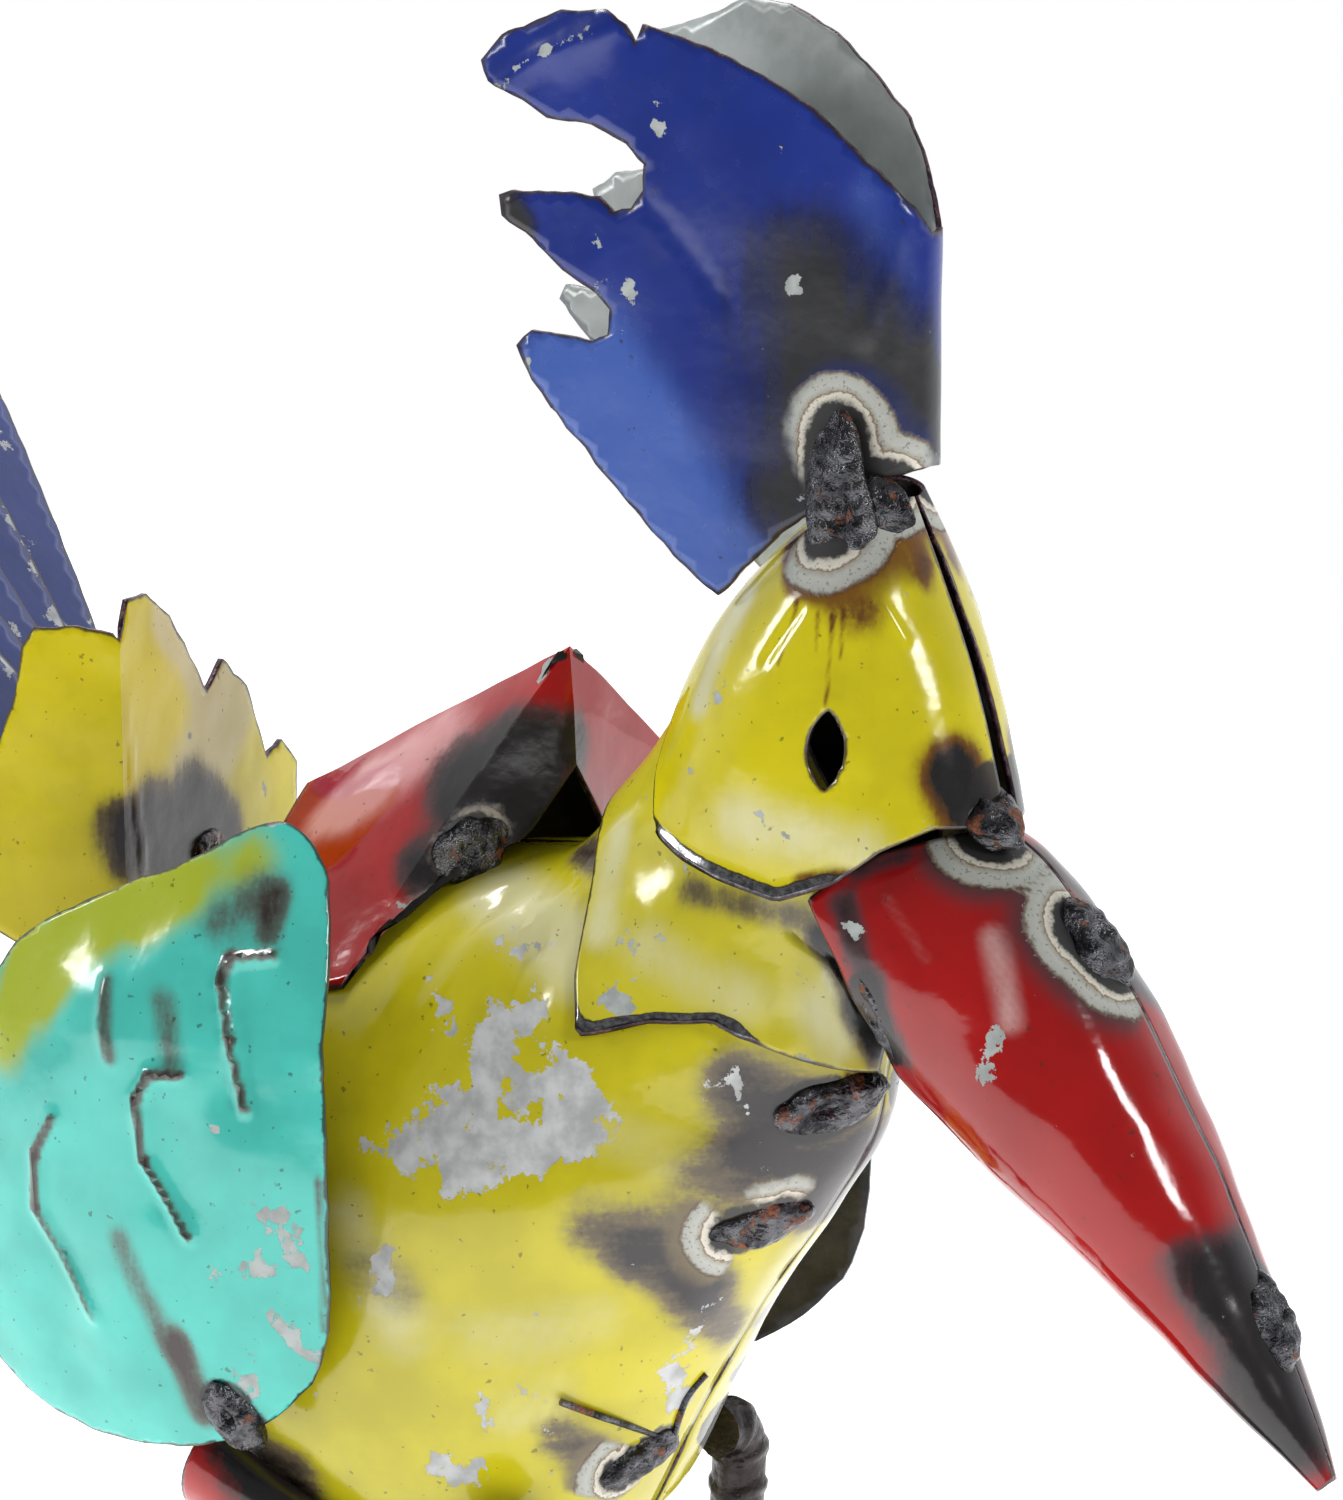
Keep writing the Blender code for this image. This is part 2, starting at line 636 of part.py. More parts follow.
TAIL_ROOT = (-0.718, 3.2065)
TAIL_RISE = radians(57.0)
TAIL_SPREAD = radians(8.0)
TAIL_DROOP = 0.12           # of the feathers' ends, in tail lengths
FEATHER_MESH = 0.022


def make_tail():
    along = Vector((-cos(TAIL_RISE), 0, sin(TAIL_RISE)))
    up = Vector((sin(TAIL_RISE), 0, cos(TAIL_RISE)))
    x, z = at(*TAIL_ROOT)
    middle = (FEATHER_COUNT - 1) / 2
    half = FEATHER_WIDTH / 2
    for n in range(FEATHER_COUNT):
        turn = (n - middle) * TAIL_SPREAD
        axis = along * cos(turn) + Vector((0, sin(turn), 0))
        side = Vector((0, cos(turn), 0)) - along * sin(turn)
        rank = FEATHER_COUNT - 1 - n
        root = Vector((x, (n - middle) * 0.10 * half, z)) + up * rank * (SHEET + 2 * LAP_GAP)
        length = TAIL_LENGTH * (1.0 - 0.03 * abs(n - middle) ** 1.5)
        edge = [(0.0, 0.55 * half), (0.17 * length, 0.78 * half)]
        edge += [(share(k, 4, 0.35, 0.87) * length, half) for k in range(5)]
        outline = [(run, -across) for run, across in edge]
        outline += [(length - half * 0.9 * (1 - cos(a)), half * sin(a))
                    for a in [radians(d) for d in (-60, -35, -12, 12, 35, 60)]]
        outline += edge[::-1]

        def bend(run, across):
            spot = axis * run + side * across
            reach = spot.dot(along)
            return root + spot - up * (TAIL_DROOP * reach * reach / TAIL_LENGTH)

        bent_sheet("tail_feather_%d" % (n + 1), outline, FEATHER_MESH, bend, BLUE, facing=up)


# Thighs: red half cones that close on the trunk below the wings

THIGH_TOP = (-0.190, 2.260)
THIGH_END = (0.130, 2.130)
THIGH_RADII = (0.150, 0.080)
THIGH_DEPTH = 0.120         # of the cone's middle, out of its rim
THIGH_ROWS = 6
THIGH_COLUMNS = 7


def trunk_profile(rows=120, columns=60):
    """The trunk's left side seen from the side, as a tree of points with their distances out."""
    spots = [TRUNK.point(share(i, rows, 1.0, 9.0), share(j, columns, 0.05, 0.95))
             for i in range(rows + 1) for j in range(columns + 1)]
    tree = KDTree(len(spots))
    for k, spot in enumerate(spots):
        tree.insert((spot.x, 0.0, spot.z), k)
    tree.balance()
    return tree, [spot.y for spot in spots]


def make_thighs():
    top, end = Vector(THIGH_TOP), Vector(THIGH_END)
    axis = (end - top).normalized()
    side_on = Vector((-axis.y, axis.x))
    tree, reach = trunk_profile()
    for name, side in (("thigh_right", -1), ("thigh_left", 1)):
        outer, faces = [], []
        for i in range(THIGH_ROWS + 1):
            f = i / THIGH_ROWS
            middle = top.lerp(end, f)
            radius = THIGH_RADII[0] + (THIGH_RADII[1] - THIGH_RADII[0]) * f
            for j in range(THIGH_COLUMNS + 1):
                turn = share(j, THIGH_COLUMNS, -pi / 2, pi / 2)
                spot = middle + side_on * radius * sin(turn)
                x, z = at(spot.x, spot.y)
                near = tree.find_n((x, 0.0, z), 3)
                out = max(reach[k] for _, k, _ in near) + SHEET + 2 * LAP_GAP
                out += THIGH_DEPTH * U * (1 - 0.3 * f) * cos(turn)
                outer.append(Vector((x, side * out, z)))
        for i in range(THIGH_ROWS):
            for j in range(THIGH_COLUMNS):
                k = i * (THIGH_COLUMNS + 1) + j
                face = (k, k + THIGH_COLUMNS + 1, k + THIGH_COLUMNS + 2, k + 1)
                faces.append(face if side < 0 else face[::-1])
        closed_sheet(name, outer, faces, RED)


# Legs, toes and plate

HIP = (0.480, 2.235)        # middle of the short run that comes out of the trunk's side
HIP_REACH = 0.6             # in bar diameters, how far round the hip the run clears the trunk
ANKLE = (0.415, 1.100)
HEEL_X = 0.470
BEND_STEPS = 6
BAR_SIDES = 12
TOE_SIDES = 10
BEND_RADIUS = 0.75          # of the middle of a bent bar, in bar diameters
TOE_SPREAD = radians(34.0)  # of a toe from straight ahead
TOE_BEND = 1.2              # of the middle of a bent toe rod, in rod diameters


def rounded(points, radius, steps=BEND_STEPS):
    """A path whose corners are bent to a radius."""
    path = [points[0]]
    for before, corner, after in zip(points, points[1:], points[2:]):
        into, out = (before - corner).normalized(), (after - corner).normalized()
        half = into.angle(out) / 2
        reach = radius * cos(half) / sin(half)
        start, finish = corner + into * reach, corner + out * reach
        for k in range(steps + 1):
            f = k / steps
            path.append(start * (1 - f) ** 2 + corner * 2 * f * (1 - f) + finish * f * f)
    return path + [points[-1]]


def make_legs():
    toe_top = BASE_THICKNESS + TOE_DIAMETER + 2 * SEAM_GAP
    hip_x, hip_z = at(*HIP)
    ankle_x, ankle_z = at(*ANKLE)
    tree, reach = trunk_profile()
    near = tree.find_range((hip_x, 0.0, hip_z), HIP_REACH * BAR_DIAMETER)
    hip_y = max(reach[k] for _, k, _ in near) + LAP_GAP
    for name, side in (("leg_right", -1), ("leg_left", 1)):
        corners = [Vector((hip_x, side * hip_y, hip_z)),
                   Vector((hip_x, side * LEG_SPREAD, hip_z)),
                   Vector((ankle_x, side * LEG_SPREAD, ankle_z)),
                   Vector((HEEL_X * U, side * LEG_SPREAD, toe_top))]
        bar(name, rounded(corners, BEND_RADIUS * BAR_DIAMETER), BAR_DIAMETER, BAR_SIDES)


def make_toes():
    z = BASE_THICKNESS + SEAM_GAP + TOE_DIAMETER / 2
    stand = TOE_DIAMETER / 2 + SEAM_GAP / 2
    for name, side in (("right", -1), ("left", 1)):
        for where, way, length in (("front", 1, TOE_LENGTH), ("back", -1, BACK_TOE_LENGTH)):
            heel = Vector((HEEL_X * U + way * stand, side * LEG_SPREAD, z))
            out = Vector((way * cos(TOE_SPREAD), sin(TOE_SPREAD), 0)) * length
            inward = Vector((out.x, -out.y, 0))
            path = rounded([heel + out, heel, heel + inward], TOE_BEND * TOE_DIAMETER)
            bar("toes_%s_%s" % (where, name), path, TOE_DIAMETER, TOE_SIDES)


def make_base():
    half_x, half_y, steps = BASE_LENGTH / 2, BASE_WIDTH / 2, 6
    ring = []
    for cx, cy, start in ((1, 1, 0), (-1, 1, 90), (-1, -1, 180), (1, -1, 270)):
        for k in range(steps + 1):
            turn = radians(start + 90 * k / steps)
            ring.append((BASE_SHIFT + cx * (half_x - BASE_CORNER) + BASE_CORNER * cos(turn),
                         cy * (half_y - BASE_CORNER) + BASE_CORNER * sin(turn)))
    count = len(ring)
    points = [(x, y, 0.0) for x, y in ring] + [(x, y, BASE_THICKNESS) for x, y in ring]
    faces = [(k, (k + 1) % count, (k + 1) % count + count, k + count) for k in range(count)]
    faces += [tuple(reversed(range(count))), tuple(range(count, 2 * count))]
    add_object("base_plate", points, faces, STEEL, BARE_ROUGHNESS, 1.0)


clear_scene()
make_trunk()
make_neck()
make_head()
make_beak()
make_crest()
make_hood()
make_wings()
make_fan()
make_tail()
make_thighs()
make_legs()
make_toes()
make_base()
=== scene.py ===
from math import acos, cos, exp, hypot, pi, radians, sin

import bmesh
import bpy
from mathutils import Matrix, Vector, noise
from mathutils.bvhtree import BVHTree
from mathutils.geometry import delaunay_2d_cdt
from mathutils.kdtree import KDTree


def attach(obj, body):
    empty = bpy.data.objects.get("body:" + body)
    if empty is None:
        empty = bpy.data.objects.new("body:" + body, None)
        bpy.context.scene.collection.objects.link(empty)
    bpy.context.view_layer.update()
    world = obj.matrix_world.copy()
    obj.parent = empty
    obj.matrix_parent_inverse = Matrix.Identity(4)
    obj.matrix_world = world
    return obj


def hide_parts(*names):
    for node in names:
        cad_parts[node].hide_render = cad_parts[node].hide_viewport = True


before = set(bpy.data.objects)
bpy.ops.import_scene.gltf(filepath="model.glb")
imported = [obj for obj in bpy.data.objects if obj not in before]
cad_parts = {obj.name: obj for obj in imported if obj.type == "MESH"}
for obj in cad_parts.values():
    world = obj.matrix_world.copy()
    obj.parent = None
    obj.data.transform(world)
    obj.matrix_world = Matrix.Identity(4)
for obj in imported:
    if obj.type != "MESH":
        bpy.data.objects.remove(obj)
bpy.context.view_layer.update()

# The studio: a white sweep under the bird, soft boxes above, left and right, and a dim room
# on the camera's side, whose reflection keeps the enamel's colours deep.
VIEW_AZIMUTH = radians(32.0)
VIEW_ELEVATION = radians(11.0)
VIEW_DISTANCE = 0.95
VIEW_AIM = Vector((0.060, 0.0, 0.375))
PHOTO_WIDTH, PHOTO_HEIGHT = 1343, 1500
FOCAL_PIXELS = 4873.5
SENSOR = 36.0

view_back = Vector((sin(VIEW_AZIMUTH) * cos(VIEW_ELEVATION),
                    -cos(VIEW_AZIMUTH) * cos(VIEW_ELEVATION), sin(VIEW_ELEVATION)))
view_right = Vector((cos(VIEW_AZIMUTH), sin(VIEW_AZIMUTH), 0.0))
view_up = view_back.cross(view_right)


def put_in_scene(name, data):
    """An object that holds a mesh, a curve, a lamp or the camera."""
    made = bpy.data.objects.new(name, data)
    bpy.context.scene.collection.objects.link(made)
    return made


camera_data = bpy.data.cameras.new("studio_camera")
camera_data.sensor_fit = "VERTICAL"
camera_data.sensor_height = SENSOR
camera_data.sensor_width = SENSOR
camera_data.lens = SENSOR * FOCAL_PIXELS / PHOTO_HEIGHT
camera_data.clip_start = 0.01
camera = put_in_scene("studio_camera", camera_data)
camera.location = VIEW_AIM + view_back * VIEW_DISTANCE
camera.rotation_euler = view_back.to_track_quat("Z", "Y").to_euler()
bpy.context.scene.camera = camera
bpy.context.scene.view_settings.view_transform = "Standard"


def add(tree, kind, ins=None, **settings):
    """A shader node with its settings, and its sockets set to values or joined to other sockets."""
    made = tree.nodes.new("ShaderNode" + kind)
    for key, value in settings.items():
        setattr(made, key, value)
    for key, value in (ins or {}).items():
        if isinstance(value, bpy.types.NodeSocket):
            tree.links.new(value, made.inputs[key])
        else:
            made.inputs[key].default_value = value
    return made


def fresh_paint(name):
    """A new material with its node tree and its shader."""
    paint = bpy.data.materials.new(name)
    paint.use_nodes = True
    return paint, paint.node_tree, paint.node_tree.nodes["Principled BSDF"]


FLOOR_SIZE = 2.2
floor_mesh = bpy.data.meshes.new("studio_floor")
floor_corners = [(x * FLOOR_SIZE, y * FLOOR_SIZE, 0.0) for x, y in ((-1, -1), (1, -1), (1, 1), (-1, 1))]
floor_mesh.from_pydata(floor_corners, [], [(0, 1, 2, 3)])
floor = put_in_scene("studio_floor", floor_mesh)
floor_paint, _, floor_shader = fresh_paint("studio_sweep")
floor_shader.inputs["Base Color"].default_value = (0.86, 0.86, 0.86, 1.0)
floor_shader.inputs["Roughness"].default_value = 0.6
floor_shader.inputs["Emission Color"].default_value = (1.0, 1.0, 1.0, 1.0)
floor_shader.inputs["Emission Strength"].default_value = 0.9
floor.data.materials.append(floor_paint)

world = bpy.data.worlds.new("studio_room")
world.use_nodes = True
bpy.context.scene.world = world
sky = world.node_tree
sky.nodes.clear()
direction = add(sky, "TexCoord").outputs["Generated"]
towards = add(sky, "VectorMath", {0: direction, 1: view_back}, operation="DOT_PRODUCT").outputs["Value"]
depth = add(sky, "MapRange", {"Value": towards, "From Min": -0.7, "From Max": 0.5, "To Min": 1.08,
                              "To Max": 0.16}, interpolation_type="SMOOTHSTEP").outputs[0]
seen_by_camera = add(sky, "LightPath").outputs["Is Camera Ray"]
room = add(sky, "Background", {"Color": (0.96, 0.98, 1.0, 1.0), "Strength": depth}).outputs[0]
plain = add(sky, "Background", {"Color": (1.0, 1.0, 1.0, 1.0), "Strength": 1.0}).outputs[0]
both = add(sky, "MixShader", {0: seen_by_camera, 1: room, 2: plain}).outputs[0]
add(sky, "OutputWorld", {"Surface": both})


def soft_box(name, place, aim, width, height, power):
    """A lamp behind a rectangular diffuser, turned towards a place; power is in watts."""
    light = bpy.data.lights.new(name, "AREA")
    light.shape = "RECTANGLE"
    light.size, light.size_y = width, height
    light.energy = power
    lamp = put_in_scene(name, light)
    lamp.location = place
    lamp.rotation_euler = (Vector(place) - Vector(aim)).to_track_quat("Z", "Y").to_euler()


soft_box("top_box", place=(-0.6, 0.2, 1.8), aim=(0.0, 0.0, 0.3), width=0.5, height=0.4, power=14.0)
soft_box("left_box", place=(-1.5, -1.1, 1.1), aim=(0.0, 0.0, 0.35), width=0.35, height=0.45, power=8.0)
soft_box("right_box", place=(1.7, -0.3, 1.1), aim=(0.0, 0.0, 0.35), width=0.30, height=0.45, power=9.0)

# The trunk: two bent sheets of yellow enamelled steel, butted along the keel and the back and
# tacked with beads at the keel. The heat left soot and ash, and knocks left dents and bare zinc.
GRID = 0.1                  # metres to a square of the drawing that the bird is set out on
SHEET = 0.0012              # thickness of the sheet
SEAM_GAP = 0.0003
ROUND_SHARE = 0.55          # of the way round from the back, where a sheet may cross the middle


def spline(values, t):
    """Smooth value at t, counted in steps along a list of numbers."""
    k = min(max(int(t), 0), len(values) - 2)
    f = t - k
    p1, p2 = values[k], values[k + 1]
    p0 = values[k - 1] if k > 0 else 2 * p1 - p2
    p3 = values[k + 2] if k + 2 < len(values) else 2 * p2 - p1
    return p1 + 0.5 * f * (p2 - p0 + f * (2 * p0 - 5 * p1 + 4 * p2 - p3 + f * (3 * (p1 - p2) + p3 - p0)))


class BentForm:
    """A drop-shaped form whose sections run from a front line to a round back line.

    A station is the front point, the back point, the half width and the front's bluntness.
    t counts stations. c is -1 at the front line on the right, 0 at the back, 1 on the left.
    """

    def __init__(self, stations):
        self.rows = [[v * GRID for v in values] for values in
                     zip(*[(s[0][0], s[0][1], s[1][0], s[1][1], s[2]) for s in stations])]
        self.blunt = [s[3] for s in stations]
        self.last = len(stations) - 1

    def point(self, t, c):
        """The place on the form at t and c."""
        a = 0.5 * (1.0 + cos(pi * c))
        p, q = spline(self.blunt, t), 0.5
        top = (p / (p + q)) ** p * (q / (p + q)) ** q
        front_x, front_z, back_x, back_z, width = [spline(row, t) for row in self.rows]
        y = width * max(a, 0.0) ** q * max(1.0 - a, 0.0) ** p / top
        return Vector((front_x * (1 - a) + back_x * a, y if c > 0 else -y, front_z * (1 - a) + back_z * a))

    def normal(self, t, c):
        """The direction out of the form at t and c."""
        c = min(max(c, -0.97), 0.97)
        along = self.point(min(t + 0.02, self.last), c) - self.point(max(t - 0.02, 0), c)
        across = self.point(t, c + 0.01) - self.point(t, c - 0.01)
        return along.cross(across).normalized()


def form_grid(form, low, high, rows, columns, c_range=(-1.0, 1.0), lift=0.0, part_side=0):
    """Points and faces of a sheet bent over a form, between two edges given as functions of c."""
    spots = []
    for i in range(rows + 1):
        for j in range(columns + 1):
            c = c_range[0] + (c_range[1] - c_range[0]) * j / columns
            t = low(c) + (high(c) - low(c)) * i / rows
            spot = form.point(t, c)
            if lift:
                spot += form.normal(t, c) * lift
            side = part_side or (0 if abs(c) < ROUND_SHARE else (1 if c > 0 else -1))
            if side:
                spot.y = side * max(side * spot.y, SEAM_GAP / 2)
            spots.append(spot)
    faces = []
    for i in range(rows):
        for j in range(columns):
            k = i * (columns + 1) + j
            faces.append((k, k + columns + 1, k + columns + 2, k + 1))
    return spots, faces


def sight(x, y):
    """Direction from the camera to a place in the picture."""
    return (view_right * (x - PHOTO_WIDTH / 2) + view_up * (PHOTO_HEIGHT / 2 - y)
            - view_back * FOCAL_PIXELS).normalized()


FIRST_REACH = 0.93          # metres from the camera at which the search past a sheet's edge starts


def on_sheet(tree, x, y):
    """The place on a sheet that the camera sees there, or else the nearest one to that line."""
    ray = sight(x, y)
    spot = tree.ray_cast(camera.location, ray)[0]
    if spot is None:
        reach = FIRST_REACH
        for _ in range(4):
            spot = tree.find_nearest(camera.location + ray * reach)[0]
            reach = (spot - camera.location).dot(ray)
    return spot


def capsule(spot, start, end):
    """Distance from a spot to the stretch between two places."""
    run = end - start
    if run.length_squared < 1e-12:
        return (spot - start).length
    f = min(max((spot - start).dot(run) / run.length_squared, 0.0), 1.0)
    return (spot - start - run * f).length


def smooth(value, low, high):
    """0 at low, 1 at high and smooth between, whichever is the greater."""
    f = min(max((value - low) / (high - low), 0.0), 1.0)
    return f * f * (3 - 2 * f)


MM = 0.001
LIP_WIDTH = 2.1             # mm of bare metal on an edge that is turned up
LIP_RISE = 1.0              # mm
FINE_WAVE = 0.4             # of the small waves in a sheet, as a share of its long ones
SHARP_FOLD = radians(38.0)  # folds above this stay sharp


def mark_ends(tree, mark):
    """Both ends of a mark: places in mm where it has eight numbers, else places in the picture."""
    if len(mark) == 8:
        return [Vector(mark[0:3]) * MM, Vector(mark[3:6]) * MM]
    return [on_sheet(tree, *mark[0:2]), on_sheet(tree, *mark[2:4])]


def steel_sheet(name, spots, faces, paints, stands_for, welds=(), soot=(), ash=(), chips=(), pale_reflection=(),
                dents=(), creases=(), lips=(), wave=0.35, wave_size=0.022, both_sides=False, mirror=False,
                aim=None, outward=False):
    """A painted sheet with its thickness, its dents and the marks that its paint follows.

    Marks are (x, y, x, y, reach in mm, amount): a stretch seen in the picture, and how far it
    spreads on the sheet. both_sides repeats them on the left, and mirror moves them there.
    lips are the stretches of edge that are turned up and bare, a dent's amount is its push in mm,
    and creases are lines of places, each with its reach and its height in mm. The pale reflection
    marks are painted reflection: they set where the paint takes its paler tone.
    """
    tree = aim or BVHTree.FromPolygons(spots, faces)

    def placed(marks):
        """The marks with their ends on the sheet and their reach in metres."""
        out = []
        for mark in marks:
            ends = mark_ends(tree, mark)
            if mirror:
                ends = [Vector((p.x, -p.y, p.z)) for p in ends]
            out.append((ends[0], ends[1], mark[-2] * MM, mark[-1]))
        return out

    def strength(spot, marks):
        """How much of the marks' amounts reaches a spot."""
        total = 0.0
        for start, end, reach, amount in marks:
            total += amount * exp(-0.8 * (capsule(spot, start, end) / reach) ** 2)
        return total

    mesh = bpy.data.meshes.new(name)
    mesh.from_pydata(spots, [], faces)
    mesh.update()
    normals = [Vector(v.normal) for v in mesh.vertices]
    open_edges = {}
    for face in faces:
        ring = list(face)
        for i, j in zip(ring, ring[1:] + ring[:1]):
            open_edges[(i, j)] = 1
    rim_points = [spots[i] for i, j in open_edges if (j, i) not in open_edges]
    rim_map = KDTree(len(rim_points))
    for k, p in enumerate(rim_points):
        rim_map.insert(p, k)
    rim_map.balance()

    beads, bumps = placed(welds), placed(dents)
    lines = [([on_sheet(tree, x, y) for x, y in line], reach * MM, height * MM)
             for line, reach, height in creases]
    # the pale marks are painted reflection: where the paint takes its paler tone
    layers = {"soot": placed(soot), "ash": placed(ash), "chip": placed(chips), "pale_reflection": placed(pale_reflection),
              "lip": placed(lips)}
    values = {key: [] for key in ("weld", "edge", "soot", "ash", "chip", "pale_reflection", "lip")}
    shift = Vector((len(name) * 7.3, 0.0, ord(name[0]) * 1.7))
    for vertex, spot, normal in zip(mesh.vertices, spots, normals):
        read = Vector((spot.x, -abs(spot.y), spot.z)) if both_sides else spot
        away = min([capsule(read, p, q) - reach for p, q, reach, _ in beads] or [1.0])
        edge = rim_map.find(spot)[2] / MM
        values["weld"].append(max(away, 0.0) / MM)
        values["edge"].append(min(edge, 50.0))
        for key, marks in layers.items():
            values[key].append(min(strength(read, marks), 1.5))
        push = wave * MM * noise.noise(spot / wave_size + shift)
        push += FINE_WAVE * wave * MM * noise.noise(spot / (FINE_WAVE * wave_size) + shift)
        push += strength(read, bumps) * MM
        push += LIP_RISE * MM * smooth(values["lip"][-1], 0.3, 0.7) * smooth(edge, LIP_WIDTH + 0.8, 0.0)
        for line, reach, height in lines:
            gap = min(capsule(read, p, q) for p, q in zip(line, line[1:]))
            push += height * exp(-(gap / reach) ** 2)
        vertex.co = spot + normal * push
    for key, numbers in values.items():
        mesh.attributes.new(key, "FLOAT", "POINT").data.foreach_set("value", numbers)
    for paint in paints:
        mesh.materials.append(paint)
    mesh.shade_smooth()
    mesh.set_sharp_from_angle(angle=SHARP_FOLD)
    piece = put_in_scene(name, mesh)
    wall = piece.modifiers.new("thickness", "SOLIDIFY")
    wall.thickness = SHEET
    wall.offset = 1.0 if outward else -1.0
    wall.use_even_offset = False
    wall.material_offset = 1
    wall.material_offset_rim = 2
    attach(piece, "root")
    if stands_for:
        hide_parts(*stands_for)
    return piece, tree


def shading_tools(tree):
    """Functions that add a paint's nodes: grain, sums, soft steps and mixed tones."""
    place = add(tree, "TexCoord").outputs["Object"]

    def grain(scale, detail=4.0, rough=0.55, stretch=None):
        vector = place
        if stretch:
            vector = add(tree, "Mapping", {"Vector": place, "Scale": stretch}).outputs[0]
        return add(tree, "TexNoise", {"Vector": vector, "Scale": scale, "Detail": detail,
                                      "Roughness": rough}).outputs[0]

    def maths(operation, a, b=0.0, c=0.0):
        return add(tree, "Math", {0: a, 1: b, 2: c}, operation=operation).outputs[0]

    def step(value, low, high, out_low=0.0, out_high=1.0):
        return add(tree, "MapRange", {"Value": value, "From Min": low, "From Max": high, "To Min": out_low,
                                      "To Max": out_high}, interpolation_type="SMOOTHSTEP").outputs[0]

    def mixed(factor, a, b):
        tones = {k: v if isinstance(v, bpy.types.NodeSocket) else (*v, 1.0) for k, v in ((6, a), (7, b))}
        return add(tree, "Mix", {0: factor, **tones}, data_type="RGBA").outputs[2]

    return grain, maths, step, mixed


DIRT = (0.03, 0.025, 0.015)
ASH_WIDTH = 10.0            # mm from the weld bead to the end of its rings
ASH_RINGS = [               # share of that width, and the colour there
    (0.00, (0.015, 0.013, 0.012)), (0.09, (0.04, 0.036, 0.03)), (0.13, (0.62, 0.58, 0.48)),
    (0.24, (0.78, 0.74, 0.64)), (0.27, (0.24, 0.14, 0.06)), (0.30, (0.40, 0.39, 0.33)),
    (0.40, (0.52, 0.53, 0.48)), (0.58, (0.44, 0.45, 0.40)), (0.63, (0.20, 0.15, 0.10)),
    (0.68, (0.05, 0.03, 0.02)),
]


